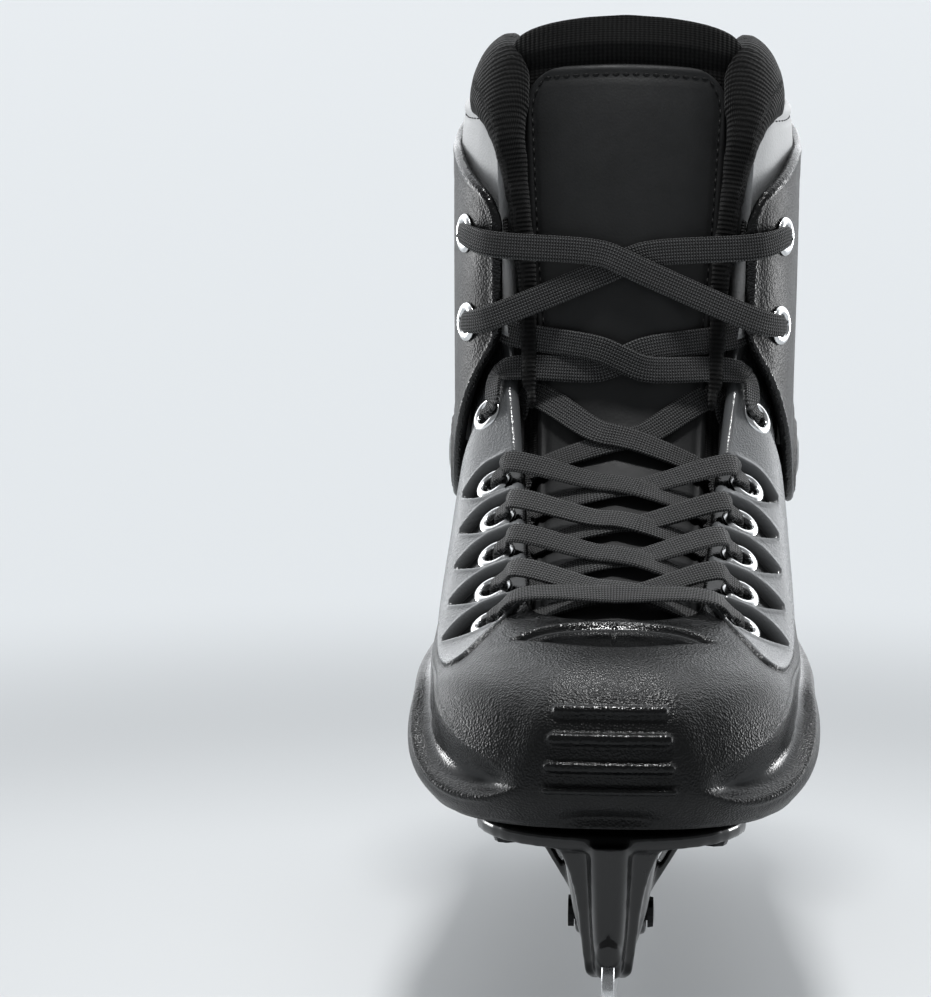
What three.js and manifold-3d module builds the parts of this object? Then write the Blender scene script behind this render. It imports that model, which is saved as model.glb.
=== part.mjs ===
// A hard-shell ice skate: a moulded boot shell with a hinged ankle cuff, a soft liner with its tongue,
// one flat lace in sixteen eyelets, and a steel runner in a moulded holder.
// Millimetres. +X is one side of the foot, -Y is the toe, +Z is up, and the runner stands at z = 0.
import * as THREE from 'three';
import { mergeVertices } from 'three/addons/utils/BufferGeometryUtils.js';
import Module from 'manifold-3d';

const wasm = await Module();
wasm.setup();

// Driving dimensions.
const GAP = 0.4;
const LINER_GAP = 1.2;
const SHELL_WALL = 4;
const CUFF_WALL = 3;
const LINER_WALL = 5;
const LINER_FLOOR = 3;
const FOOTBED_THICKNESS = 3.5;
const PIVOT = new THREE.Vector3(0, 66, 140);
const PIVOT_PAD_RADIUS = 9;
const PIVOT_SHANK_RADIUS = 3.4;
const PIVOT_NUT_RADIUS = 7.6;
const SHELL_PAD_X = 49.6;
const SHELL_SEAT_X = 46.3;
const CUFF_PAD_IN_X = 50.2;
const CUFF_PAD_OUT_X = 53.7;
const SOLE_Z = 61;
const HOLDER_TOP = SOLE_Z - GAP;
const FLANGE_THICKNESS = 4.6;
const HOLDER_BOTTOM = 17;
const RAIL_TOP = 33;
const BLADE_THICKNESS = 3.6;
const BLADE_HALF_LENGTH = 138;
const BLADE_FLAT_HALF = 45;
const BLADE_TOP = 24;
const BLADE_TAB_TOP = 37;
const BLADE_BOLT_Y = 94;
const BLADE_BOLT_Z = 30;
const BOSS_HALF_WIDTH = 10.2;
const LACE_WIDTH = 8;
const LACE_THICKNESS = 1.1;
const LACE_RISE = 2;
const LACE_STAND_OFF = 5.2;
const LACE_OVER_EDGE = 3.6;
const CROSSING_REACH = 36;
const EYELET_RADIUS = 6.3;
const EYELET_BORE = 3.2;
const POCKET_DEPTH = 1.8;
const RIVET_SHANK = 2.3;
const RIVET_HEAD = 4;
const FLAT_SHARE = 0.7;
const TONGUE_CROWN = 0.0092;

// The right half of each rail of the boot shell, from the toe's centre round to the heel's centre.
const SHELL_RAILS = {
  sole: [[0, -140, 64.5], [25, -134.5, 64], [43, -113, 62.5], [50, -76, 61.5], [43, -12, 61],
    [38.5, 36, 61], [38, 76, 61], [30, 120, 61], [0, 139, 61]],
  bumper: [[0, -146, 78], [29, -140, 76], [51, -115, 74], [58, -76, 78], [53, -12, 82],
    [49, 36, 84], [48, 76, 84], [38, 126, 84], [0, 146, 84]],
  side: [[0, -141.5, 97], [26, -135, 96], [46.5, -110, 95], [54.5, -73, 93], [51, -8, 107],
    [49, 38, 116], [48.3, 76, 118], [38, 118, 118], [0, 134, 118]],
  shoulder: [[0, -122, 108], [21, -118, 107.5], [37, -102, 105.5], [47, -72, 105.5], [48, -6, 134],
    [46.5, 32, 157], [47.6, 70, 162], [35, 103, 161], [0, 113.5, 160]],
  edge: [[0, -84, 113], [16, -83, 113.5], [24, -77, 115.5], [26.5, -58, 123], [31, -8, 149],
    [36, 22, 176], [41, 66, 186], [31, 98, 186], [0, 109, 184]],
};

// The right half of the cuff's two edges, from the front edge round to the back's centre.
const CUFF_RAILS = {
  lower: [[38.5, 12.5, 181], [47, 19.6, 166.5], [51.7, 31, 150], [53.6, 50, 130], [53.7, 68, 126],
    [51, 92, 136], [34, 114, 149], [0, 123, 153]],
  upper: [[38.5, 16, 224], [45.3, 22.5, 228.5], [50.3, 33, 233], [53.6, 49, 238], [54.6, 66, 240.5],
    [51.5, 88, 246], [34, 109, 251.5], [0, 117, 254]],
};

// The liner's upper part, inside the cuff: the right half of its outer face's two edges.
const LINER_RAILS = {
  lower: [
    [46.4, 43, 196], [48.6, 53, 193], [49.6, 66, 191], [46.6, 88, 190], [31, 107, 190], [0, 114.5, 190],
  ],
  upper: [
    [45.5, 40, 256], [48.8, 50, 258], [50.2, 63, 259], [47.2, 84, 262], [31, 102, 265], [0, 110.5, 266],
  ],
};

// Rows of eyelets from the ankle's top down to the toe: the first two are on the cuff, the rest on the shell.
const CUFF_EYELETS = [{ x: 49, z: 213, edgeX: 39.6 }, { x: 48, z: 186, edgeX: 39.6 }];
const SHELL_EYELETS = [
  { x: 41, y: 13.5, pocket: 0, edgeX: 35.1 },
  { x: 39, y: -10, pocket: 13, edgeX: 32.5 },
  { x: 37, y: -27, pocket: 15, edgeX: 30.5 },
  { x: 36.6, y: -43, pocket: 16, edgeX: 29.5 },
  { x: 36.7, y: -59, pocket: 17, edgeX: 28.5 },
  { x: 37, y: -75, pocket: 18, edgeX: 27 },
];

// The front face of the tongue on its centre line, as (y, z) from under the toe cap to its top.
const TONGUE_LINE = [[-92, 105], [-75, 111.5], [-58, 119], [-33, 131.5], [-8, 144.5], [3, 155], [9, 170],
  [12, 190], [16, 213], [22, 240], [30, 266], [38, 281]];

const MATERIALS = {
  shellPlastic: { color: 0x17181a, roughness: 0.55, metalness: 0 },
  holderPlastic: { color: 0x0d0e10, roughness: 0.25, metalness: 0 },
  steel: { color: 0xc9cccf, roughness: 0.25, metalness: 1 },
  greyFabric: { color: 0xb4b6b8, roughness: 0.9, metalness: 0 },
  knit: { color: 0x0f0f10, roughness: 0.95, metalness: 0 },
  leatherette: { color: 0x26272a, roughness: 0.6, metalness: 0 },
  lace: { color: 0x0c0c0d, roughness: 0.9, metalness: 0 },
  foam: { color: 0x3a3b3d, roughness: 0.9, metalness: 0 },
};

// Vector helpers.
const v3 = (x, y, z) => new THREE.Vector3(x, y, z);
const mix = (a, b, t) => a.clone().lerp(b, t);
const along = (origin, ...moves) => moves.reduce((p, [dir, d]) => p.addScaledVector(dir, d), origin.clone());

// Solids and booleans.
function toSolid(geometry) {
  const bare = geometry.clone();
  bare.deleteAttribute('normal');
  bare.deleteAttribute('uv');
  const merged = mergeVertices(bare, 1e-4);
  return new wasm.Manifold(new wasm.Mesh({
    numProp: 3,
    vertProperties: new Float32Array(merged.attributes.position.array),
    triVerts: new Uint32Array(merged.index.array),
  }));
}

function toGeometry(solid) {
  const mesh = solid.getMesh();
  const geometry = new THREE.BufferGeometry();
  geometry.setAttribute('position', new THREE.BufferAttribute(mesh.vertProperties, 3));
  geometry.setIndex(new THREE.BufferAttribute(mesh.triVerts, 1));
  geometry.computeVertexNormals();
  return geometry;
}

const cut = (base, tools) => toGeometry(tools.reduce((s, tool) => s.subtract(toSolid(tool)), toSolid(base)));
const join = (base, others) => toGeometry(others.reduce((s, other) => s.add(toSolid(other)), toSolid(base)));
const overlap = (a, b) => toGeometry(toSolid(a).intersect(toSolid(b)));

// A closed geometry from points and triangles, turned so that its faces point out.
function closedGeometry(points, triangles) {
  let volume = 0;
  for (const [a, b, c] of triangles) {
    volume += points[a].dot(points[b].clone().cross(points[c]));
  }
  const facing = volume < 0 ? triangles.map(([a, b, c]) => [a, c, b]) : triangles;
  const geometry = new THREE.BufferGeometry().setFromPoints(points);
  geometry.setIndex(facing.flat());
  geometry.computeVertexNormals();
  return geometry;
}

// A solid skinned over closed rings of equal length, with a fan over its first and last ring.
function loft(rings) {
  const count = rings[0].length;
  const points = rings.flat();
  const triangles = [];
  for (let r = 0; r + 1 < rings.length; r++) {
    for (let i = 0; i < count; i++) {
      const a = r * count + i;
      const b = r * count + ((i + 1) % count);
      triangles.push([a, b, b + count], [a, b + count, a + count]);
    }
  }
  const fan = (ring, turned) => {
    const first = rings.indexOf(ring) * count;
    const hub = points.length;
    points.push(ring.reduce((sum, p) => sum.add(p), v3(0, 0, 0)).divideScalar(count));
    for (let i = 0; i < count; i++) {
      const pair = [first + i, first + ((i + 1) % count)];
      triangles.push(turned ? [hub, pair[1], pair[0]] : [hub, ...pair]);
    }
  };
  fan(rings[0], true);
  fan(rings[rings.length - 1], false);
  return closedGeometry(points, triangles);
}

// A solid between two grids of points of the same size, closed round its border.
function slab(outer, inner) {
  const columns = outer.length;
  const rows = outer[0].length;
  const points = [...outer.flat(), ...inner.flat()];
  const out = (i, j) => i * rows + j;
  const inn = (i, j) => columns * rows + i * rows + j;
  const triangles = [];
  for (let i = 0; i + 1 < columns; i++) {
    for (let j = 0; j + 1 < rows; j++) {
      triangles.push([out(i, j), out(i + 1, j), out(i + 1, j + 1)]);
      triangles.push([out(i, j), out(i + 1, j + 1), out(i, j + 1)]);
      triangles.push([inn(i, j), inn(i + 1, j + 1), inn(i + 1, j)]);
      triangles.push([inn(i, j), inn(i, j + 1), inn(i + 1, j + 1)]);
    }
  }
  const wall = (a, b) => {
    triangles.push([out(...a), out(...b), inn(...b)], [out(...a), inn(...b), inn(...a)]);
  };
  for (let i = 0; i + 1 < columns; i++) {
    wall([i + 1, 0], [i, 0]);
    wall([i, rows - 1], [i + 1, rows - 1]);
  }
  for (let j = 0; j + 1 < rows; j++) {
    wall([0, j], [0, j + 1]);
    wall([columns - 1, j + 1], [columns - 1, j]);
  }
  return closedGeometry(points, triangles);
}

// Surfaces: a point for each pair of numbers from 0 to 1, with a normal by small differences.
function closedRail(half) {
  const right = half.map((p) => v3(...p));
  const left = half.slice(1, -1).reverse().map(([x, y, z]) => v3(-x, y, z));
  return new THREE.CatmullRomCurve3([...right, ...left], true, 'catmullrom', 0.5);
}

function openRail(half) {
  const right = half.map((p) => v3(...p));
  const left = half.slice(0, -1).reverse().map(([x, y, z]) => v3(-x, y, z));
  return new THREE.CatmullRomCurve3([...right, ...left], false, 'catmullrom', 0.5);
}

function surfaceOver(rails) {
  return (s, t) => {
    const across = rails.map((rail) => rail.getPoint(s));
    return new THREE.CatmullRomCurve3(across, false, 'catmullrom', 0.5).getPoint(t);
  };
}

function normalOf(surface, s, t) {
  const step = 1e-3;
  const ds = surface((s + step) % 1, t).sub(surface((s - step + 1) % 1, t));
  const dt = surface(s, Math.min(t + step, 1)).sub(surface(s, Math.max(t - step, 0)));
  return ds.cross(dt).normalize();
}

// The surface's point where two of its coordinates have the wanted values, with its outward normal.
function seatOn(surface, wanted, start) {
  const keys = Object.keys(wanted);
  let [s, t] = start;
  const step = 1e-4;
  for (let pass = 0; pass < 30; pass++) {
    const here = surface(s, t);
    const ds = surface(s + step, t).sub(here).divideScalar(step);
    const dt = surface(s, t + step).sub(here).divideScalar(step);
    const [ea, eb] = keys.map((key) => wanted[key] - here[key]);
    const det = ds[keys[0]] * dt[keys[1]] - ds[keys[1]] * dt[keys[0]];
    s += (ea * dt[keys[1]] - eb * dt[keys[0]]) / det;
    t += (eb * ds[keys[0]] - ea * ds[keys[1]]) / det;
  }
  const point = surface(s, t);
  const normal = normalOf(surface, s, t);
  if (normal.dot(v3(point.x, -20, 20)) < 0) {
    normal.negate();
  }
  return { point, normal };
}

// Boot shell.
const shellSurface = surfaceOver(Object.values(SHELL_RAILS).map(closedRail));

// The shell's surface moved in by a depth, and kept that far above its sole.
function shellInside(s, t, depth, floor) {
  const point = shellSurface(s, t);
  const inward = normalOf(shellSurface, s, t);
  const middle = v3(0, point.y * 0.6, 90);
  if (inward.dot(middle.sub(point)) < 0) {
    inward.negate();
  }
  point.addScaledVector(inward, depth);
  point.z = Math.max(point.z, shellSurface(s, 0).z + floor);
  return point;
}

// Rings of the surface at a depth, from the flat middle of its floor up to a share of its height.
function ringsInside(depth, floor, reach, columns, rows) {
  const ring = (pointAt) => Array.from({ length: columns }, (_, i) => pointAt(i / columns));
  const walls = Array.from({ length: rows + 1 }, (_, row) => ring((s) => (
    shellInside(s, (row / Math.max(rows, 1)) * reach(s), depth, floor))));
  const flat = ring((s) => {
    const rim = shellSurface(s, 0);
    return v3(rim.x * FLAT_SHARE, rim.y * FLAT_SHARE, SOLE_Z + floor);
  });
  return [flat, ...walls];
}

const shellEyeletSeats = SHELL_EYELETS.map(({ x, y, pocket, edgeX }) => {
  const seat = seatOn(shellSurface, { x, y }, [0.22, 0.9]);
  const sunk = pocket ? POCKET_DEPTH : 0;
  const edge = seatOn(shellSurface, { x: edgeX, y }, [0.22, 0.95]);
  const point = along(seat.point, [seat.normal, -sunk]);
  return { point, normal: seat.normal, edge, pocket, wall: SHELL_WALL - sunk };
});

// Directions at an eyelet: out of the wall, towards the centre line in the wall, and across both.
function axesAt(seat) {
  const inward = v3(-1, 0, 0);
  inward.addScaledVector(seat.normal, -inward.dot(seat.normal)).normalize();
  return { out: seat.normal, inward, across: seat.normal.clone().cross(inward) };
}

function turnedTo(seat, geometry) {
  const { out, inward, across } = axesAt(seat);
  const basis = new THREE.Matrix4().makeBasis(inward, out, across.clone().negate());
  return geometry.applyMatrix4(basis.setPosition(seat.point));
}

const mirrored = (geometry) => {
  const copy = geometry.clone().applyMatrix4(new THREE.Matrix4().makeScale(-1, 1, 1));
  const index = copy.index.array;
  for (let i = 0; i < index.length; i += 3) {
    [index[i], index[i + 1]] = [index[i + 1], index[i]];
  }
  return copy;
};

const withIndex = (geometry) => (geometry.index ? geometry : mergeVertices(geometry));

function cylinder(radius, height, sides = 16) {
  return new THREE.CylinderGeometry(radius, radius, height, sides);
}

const cylinderAlongX = (radius, x0, x1, y, z) => cylinder(radius, Math.abs(x1 - x0))
  .rotateZ(Math.PI / 2)
  .translate((x0 + x1) / 2, y, z);

function bootShell() {
  const outer = ringsInside(0, 0, () => 1, 48, 8);
  const inner = ringsInside(SHELL_WALL, SHELL_WALL, () => 1, 48, 8).reverse();
  const holes = shellEyeletSeats.map((seat) => turnedTo(seat, cylinder(EYELET_BORE + 1.4, 16, 8)));
  const pockets = shellEyeletSeats.filter((seat) => seat.pocket).map((seat) => {
    const outline = new THREE.Shape();
    outline.moveTo(12, 7.4);
    outline.quadraticCurveTo(-4, 9, -seat.pocket, 0);
    outline.quadraticCurveTo(-4, -9, 12, -7.4);
    outline.closePath();
    const scoop = new THREE.ExtrudeGeometry(outline, { depth: 8, bevelEnabled: false, curveSegments: 4 });
    return turnedTo(seat, withIndex(scoop.rotateX(-Math.PI / 2)));
  });
  const padSide = (side) => [
    cylinderAlongX(PIVOT_PAD_RADIUS + 2, side * SHELL_PAD_X, side * (SHELL_PAD_X + 10), PIVOT.y, PIVOT.z),
    cylinderAlongX(PIVOT_SHANK_RADIUS + 0.4, side * 30, side * 60, PIVOT.y, PIVOT.z),
    cylinderAlongX(PIVOT_NUT_RADIUS + 0.4, side * 40, side * SHELL_SEAT_X, PIVOT.y, PIVOT.z),
  ];
  const rivetHoles = rivetPlaces.flatMap(({ x, y }) => [
    cylinder(RIVET_SHANK + 0.4, 20, 8).rotateX(Math.PI / 2).translate(x, y, SOLE_Z),
    cylinder(RIVET_HEAD + 0.4, 10, 8).rotateX(Math.PI / 2).translate(x, y, SOLE_Z + SHELL_WALL + 3),
  ]);
  const padInner = SHELL_PAD_X - SHELL_WALL - 1;
  const pads = [1, -1].map((side) => (
    cylinderAlongX(PIVOT_PAD_RADIUS + 1, side * padInner, side * SHELL_PAD_X, PIVOT.y, PIVOT.z)));
  const body = join(loft([...outer, ...inner]), pads);
  const tools = [...pockets, ...holes];
  return cut(body, [...tools, ...tools.map(mirrored), ...padSide(1), ...padSide(-1), ...rivetHoles]);
}

// Ankle cuff.
const cuffSurface = surfaceOver([openRail(CUFF_RAILS.lower), openRail(CUFF_RAILS.upper)]);
const cuffEyeletSeats = CUFF_EYELETS.map(({ x, z, edgeX }) => ({
  ...seatOn(cuffSurface, { x, z }, [0.12, 0.4]),
  edge: seatOn(cuffSurface, { x: edgeX, z }, [0.05, 0.4]),
  wall: CUFF_WALL,
}));

function gridOf(surface, depth, columns, rows) {
  const clampEnds = (s) => Math.min(Math.max(s, 2e-3), 1 - 2e-3);
  return Array.from({ length: columns + 1 }, (_, i) => Array.from({ length: rows + 1 }, (__, j) => {
    const s = clampEnds(i / columns);
    const point = surface(s, j / rows);
    const inward = normalOf(surface, s, j / rows);
    if (inward.dot(v3(0, 66, point.z).sub(point)) < 0) {
      inward.negate();
    }
    return point.addScaledVector(inward, depth);
  }));
}

function ankleCuff() {
  const body = slab(gridOf(cuffSurface, 0, 44, 5), gridOf(cuffSurface, CUFF_WALL, 44, 5));
  const pads = [1, -1].map((side) => (
    cylinderAlongX(PIVOT_PAD_RADIUS, side * CUFF_PAD_IN_X, side * CUFF_PAD_OUT_X, PIVOT.y, PIVOT.z)));
  const holes = cuffEyeletSeats.map((seat) => turnedTo(seat, cylinder(EYELET_BORE + 1.4, 16, 8)));
  const sideCuts = [1, -1].flatMap((side) => [
    cylinderAlongX(PIVOT_PAD_RADIUS + 0.01, side * CUFF_PAD_OUT_X, side * 60, PIVOT.y, PIVOT.z),
    cylinderAlongX(PIVOT_PAD_RADIUS + 3, side * 40, side * CUFF_PAD_IN_X, PIVOT.y, PIVOT.z),
    cylinderAlongX(PIVOT_SHANK_RADIUS + 0.4, side * 40, side * 60, PIVOT.y, PIVOT.z),
  ]);
  return cut(join(body, pads), [...holes, ...holes.map(mirrored), ...sideCuts]);
}

// Turned metal parts, as profiles of (radius, height) about their own axis.
const turned = (profile, sides = 12) => {
  const outline = [...profile, profile[0]].map(([r, h]) => new THREE.Vector2(r, h));
  return withIndex(new THREE.LatheGeometry(outline, sides));
};

function eyelet(seat) {
  const back = -seat.wall - 1.5;
  return turnedTo(seat, turned([
    [EYELET_BORE, back - 0.8], [EYELET_BORE + 2, back - 0.8], [EYELET_BORE + 2, back],
    [EYELET_BORE + 0.9, back], [EYELET_BORE + 0.9, GAP], [EYELET_RADIUS, GAP],
    [EYELET_RADIUS - 0.6, GAP + 1], [EYELET_BORE, GAP + 1],
  ], 8));
}

// A turned part whose profile height runs out along +X, standing at an x on the pivot's axis.
const onPivot = (geometry) => geometry.rotateZ(-Math.PI / 2).translate(0, PIVOT.y, PIVOT.z);

function pivotBolt() {
  const face = CUFF_PAD_OUT_X + 0.3;
  const tip = SHELL_SEAT_X - 1.6;
  return onPivot(turned([
    [0, tip], [PIVOT_SHANK_RADIUS, tip], [PIVOT_SHANK_RADIUS, face], [7.6, face], [7.2, face + 1],
    [4.5, face + 1.7], [2.2, face + 1.8], [2.2, face + 0.6], [0, face + 0.6],
  ]));
}

function pivotNut() {
  const bore = PIVOT_SHANK_RADIUS + 0.3;
  const face = SHELL_SEAT_X - 0.3;
  return onPivot(turned([[bore, face - 1.3], [PIVOT_NUT_RADIUS, face - 1.3], [PIVOT_NUT_RADIUS, face],
    [bore, face]]));
}

// Liner, footbed, collar and tongue.
function linerLower() {
  const depth = SHELL_WALL + LINER_GAP;
  // The liner's edge stays outside the lace that runs under the eyelets, and rises at the ankle.
  const reach = (s) => 0.72 + 0.2 * THREE.MathUtils.smoothstep(Math.min(s, 1 - s), 0.28, 0.4);
  const outer = ringsInside(depth, SHELL_WALL + GAP, reach, 44, 6);
  const inner = ringsInside(depth + LINER_WALL, SHELL_WALL + GAP + LINER_FLOOR, reach, 44, 6).reverse();
  return loft([...outer, ...inner]);
}

function footbed() {
  const depth = SHELL_WALL + 2 * LINER_GAP + LINER_WALL;
  const floor = SHELL_WALL + 2 * GAP + LINER_FLOOR;
  const faceAt = (height) => ringsInside(depth, height, () => 0, 48, 0);
  return loft([...faceAt(floor), ...faceAt(floor + FOOTBED_THICKNESS).reverse()]);
}

const linerSurface = surfaceOver([openRail(LINER_RAILS.lower), openRail(LINER_RAILS.upper)]);
const linerUpper = () => slab(gridOf(linerSurface, 0, 36, 4), gridOf(linerSurface, LINER_WALL + 1, 36, 4));

function collar() {
  const path = new THREE.CatmullRomCurve3(openRail(LINER_RAILS.upper).points.map((p) => (
    v3(p.x * 0.92, 66 + (p.y - 66) * 0.94, p.z + 7))), false, 'catmullrom', 0.5);
  const rings = Array.from({ length: 29 }, (_, i) => {
    const centre = path.getPoint(i / 28);
    const forward = path.getTangent(i / 28);
    const side = forward.clone().cross(v3(0, 0, 1)).normalize();
    const roll = 1 - 0.45 * Math.abs(i / 14 - 1) ** 12;
    return Array.from({ length: 8 }, (__, k) => {
      const angle = (k / 8) * Math.PI * 2;
      return along(centre, [side, 5.4 * roll * Math.cos(angle)], [v3(0, 0, 1), 6.2 * roll * Math.sin(angle)]);
    });
  });
  return loft(rings);
}

const tongueStations = TONGUE_LINE.map(([y, z]) => v3(0, y, z));
const tongueLine = new THREE.CatmullRomCurve3(tongueStations, false, 'catmullrom', 0.5);

// The tongue's front face at a share of its length, x from the centre line and a depth behind the face.
function tonguePoint(share, x, depth = 0) {
  const centre = tongueLine.getPoint(share);
  const forward = tongueLine.getTangent(share);
  const front = v3(0, -forward.z, forward.y);
  const crown = x * x * TONGUE_CROWN;
  return along(centre, [v3(1, 0, 0), x], [front, -crown - depth]);
}

function tonguePart(from, to, halfWidth, thickness, rows) {
  const grid = (depth) => Array.from({ length: 13 }, (_, i) => Array.from({ length: rows + 1 }, (__, j) => {
    const share = THREE.MathUtils.lerp(from, to, j / rows);
    return tonguePoint(share, (i / 6 - 1) * halfWidth(share), depth);
  }));
  return slab(grid(0), grid(thickness));
}

const tongueLower = () => tonguePart(0, 0.42, (share) => 27 + 10 * share, 4.5, 10);
const tongueUpper = () => tonguePart(0.56, 1, (share) => (
  29 + 6 * THREE.MathUtils.smoothstep(share, 0.56, 0.72) - 8 * Math.max(share - 0.9, 0) / 0.1), 6.5, 10);
const tonguePanel = () => {
  const grid = (depth) => Array.from({ length: 9 }, (_, i) => Array.from({ length: 9 }, (__, j) => {
    const share = THREE.MathUtils.lerp(0.6, 0.93, j / 8);
    return tonguePoint(share, (i / 4 - 1) * 29, depth);
  }));
  return slab(grid(-1.6), grid(-0.3));
};

// Lace: one flat ribbon from an end tucked into the cuff, down to the toe's bar and up to the other end.
const eyeletSeats = [...cuffEyeletSeats, ...shellEyeletSeats];
const isFromInside = (row) => row === 2 || row === 3;
const onSide = (p, side) => v3(side * p.x, p.y, p.z);

// Stations of the lace at an eyelet, from the wall's edge outside to the wall's edge inside.
function throughEyelet(row, side) {
  const seat = eyeletSeats[row - 1];
  const { out, inward, across } = axesAt(seat);
  const up = across.z > 0 ? across : across.negate();
  const rise = isFromInside(row) ? LACE_RISE : -LACE_RISE;
  const at = (depth, toCentre, width, thickness, flat = out) => ({
    point: onSide(along(seat.point, [out, depth], [inward, toCentre]), side),
    flat: onSide(flat, side),
    width,
    thickness,
  });
  const atEdge = (depth, shift) => ({
    point: onSide(along(seat.edge.point, [seat.edge.normal, depth], [up, shift]), side),
    flat: onSide(seat.edge.normal, side),
    width: LACE_WIDTH,
    thickness: LACE_THICKNESS,
  });
  const { wall } = seat;
  return [
    atEdge(LACE_OVER_EDGE, rise),
    at(2.9, 4.8, LACE_WIDTH - 1.5, 1.3),
    at(1.5, 0.8, 3.6, 1.8, mix(out, inward, 0.6).normalize()),
    at(-wall - 2.4, 0.2, 3.6, 2.2, inward),
    at(-wall - 4.2, 5, LACE_WIDTH - 1.5, 1.3),
    atEdge(-(row < 3 ? CUFF_WALL : SHELL_WALL) - 3, -rise),
  ];
}

// The share of the tongue's length that is level with a point, judged by height more than by depth.
function shareLevelWith(target) {
  const off = (p) => Math.abs((p.y - target.y) * 0.5 + (p.z - target.z));
  let best = 0;
  for (let share = 0; share <= 1; share += 0.002) {
    best = off(tongueLine.getPoint(share)) < off(tongueLine.getPoint(best)) ? share : best;
  }
  return best;
}

// Three stations on the tongue, for a strand that climbs from a row on one side to the row above it.
function crossing(row, from, lift) {
  return [-7, 0, 7].map((x) => {
    const climbed = 0.5 - (from * x) / (2 * CROSSING_REACH);
    const level = mix(eyeletSeats[row - 1].point, eyeletSeats[row - 2].point, climbed);
    const share = shareLevelWith(level);
    return {
      point: tonguePoint(share, x, -(LACE_STAND_OFF + lift)),
      flat: tonguePoint(share, x, -1).sub(tonguePoint(share, x, 0)).normalize(),
      width: LACE_WIDTH,
      thickness: LACE_THICKNESS,
    };
  });
}

function laceHalf(side) {
  const inOrder = (stations, outward) => (outward ? [...stations].reverse() : stations);
  const route = [];
  let here = side;
  for (let row = 8; row >= 1; row--) {
    route.push(...inOrder(throughEyelet(row, here), isFromInside(row)));
    if (row > 1) {
      const lift = here > 0 ? 0.8 : -0.8;
      const across = crossing(row, here, lift);
      route.push(...(here > 0 ? across.reverse() : across));
      here = -here;
    }
  }
  return route;
}

function barStations() {
  const { point } = eyeletSeats[7];
  return [{
    point: v3(0, point.y - 1, point.z + 9.2),
    flat: v3(0, -0.45, 0.9).normalize(),
    width: LACE_WIDTH,
    thickness: LACE_THICKNESS,
  }];
}

function lace() {
  const stations = [...laceHalf(-1).reverse(), ...barStations(), ...laceHalf(1)];
  const path = new THREE.CatmullRomCurve3(stations.map((s) => s.point), false, 'centripetal');
  const steps = Math.round((stations.length - 1) * 1.5);
  const rings = Array.from({ length: steps + 1 }, (_, i) => {
    const place = (i / steps) * (stations.length - 1);
    const index = Math.min(Math.floor(place), stations.length - 2);
    const a = stations[index];
    const b = stations[index + 1];
    const part = place - index;
    const centre = path.getPoint(i / steps);
    const forward = path.getTangent(i / steps);
    const flat = mix(a.flat, b.flat, part);
    flat.addScaledVector(forward, -flat.dot(forward)).normalize();
    const side = forward.clone().cross(flat);
    const halfWidth = THREE.MathUtils.lerp(a.width, b.width, part) / 2;
    const halfThickness = THREE.MathUtils.lerp(a.thickness, b.thickness, part) / 2;
    const corners = [[1, 0], [0.8, 1], [-0.8, 1], [-1, 0], [-0.8, -1], [0.8, -1]];
    return corners.map(([w, h]) => along(centre, [side, w * halfWidth], [flat, h * halfThickness]));
  });
  return loft(rings);
}

// Runner and its holder.
function outlineOf(points) {
  const shape = new THREE.Shape();
  points.forEach(([y, z], i) => (i ? shape.lineTo(y, z) : shape.moveTo(y, z)));
  shape.closePath();
  return shape;
}

// A side outline in (y, z), as thick as given and centred on x = 0.
function plateFrom(shape, thickness, curveSegments = 8) {
  const plate = new THREE.ExtrudeGeometry(shape, { depth: thickness, bevelEnabled: false, curveSegments });
  plate.translate(0, 0, -thickness / 2);
  const basis = new THREE.Matrix4().makeBasis(v3(0, 1, 0), v3(0, 0, 1), v3(1, 0, 0));
  return withIndex(plate.applyMatrix4(basis));
}

// The runner's side outline, grown by a clearance for the slot that holds it.
function bladeShape(grow) {
  const end = BLADE_HALF_LENGTH + grow;
  const top = BLADE_TOP + grow;
  const tab = BLADE_TAB_TOP + grow;
  const shape = new THREE.Shape();
  shape.moveTo(-BLADE_FLAT_HALF, 0);
  shape.lineTo(BLADE_FLAT_HALF, 0);
  shape.quadraticCurveTo(100, 0.4, 122, 4);
  shape.quadraticCurveTo(end, 8, end - 4, top);
  for (const side of [1, -1]) {
    shape.lineTo(side * (BLADE_BOLT_Y + side * 14 + side * grow), top);
    shape.lineTo(side * (BLADE_BOLT_Y + side * 9 + side * grow), tab);
    shape.lineTo(side * (BLADE_BOLT_Y - side * 9 - side * grow), tab);
    shape.lineTo(side * (BLADE_BOLT_Y - side * 14 - side * grow), top);
  }
  shape.lineTo(-end + 4, top);
  shape.quadraticCurveTo(-end, 8, -122, 4);
  shape.quadraticCurveTo(-100, 0.4, -BLADE_FLAT_HALF, 0);
  return shape;
}

const boltAxes = [-BLADE_BOLT_Y, BLADE_BOLT_Y];

function blade() {
  const holes = boltAxes.map((y) => cylinderAlongX(3, -5, 5, y, BLADE_BOLT_Z));
  return cut(plateFrom(bladeShape(0), BLADE_THICKNESS, 6), holes);
}

// A tower of the holder seen from the side, from the flange down to the rail.
function towerShape(side) {
  const shape = new THREE.Shape();
  shape.moveTo(side * 128, HOLDER_TOP - FLANGE_THICKNESS + 0.5);
  shape.quadraticCurveTo(side * 124, 40, side * 124, HOLDER_BOTTOM + 6);
  shape.quadraticCurveTo(side * 124, HOLDER_BOTTOM, side * 116, HOLDER_BOTTOM);
  shape.lineTo(side * 60, HOLDER_BOTTOM);
  shape.lineTo(side * 60, RAIL_TOP);
  shape.quadraticCurveTo(side * 48, 42, side * 44, HOLDER_TOP - FLANGE_THICKNESS + 0.5);
  shape.closePath();
  return shape;
}

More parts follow.
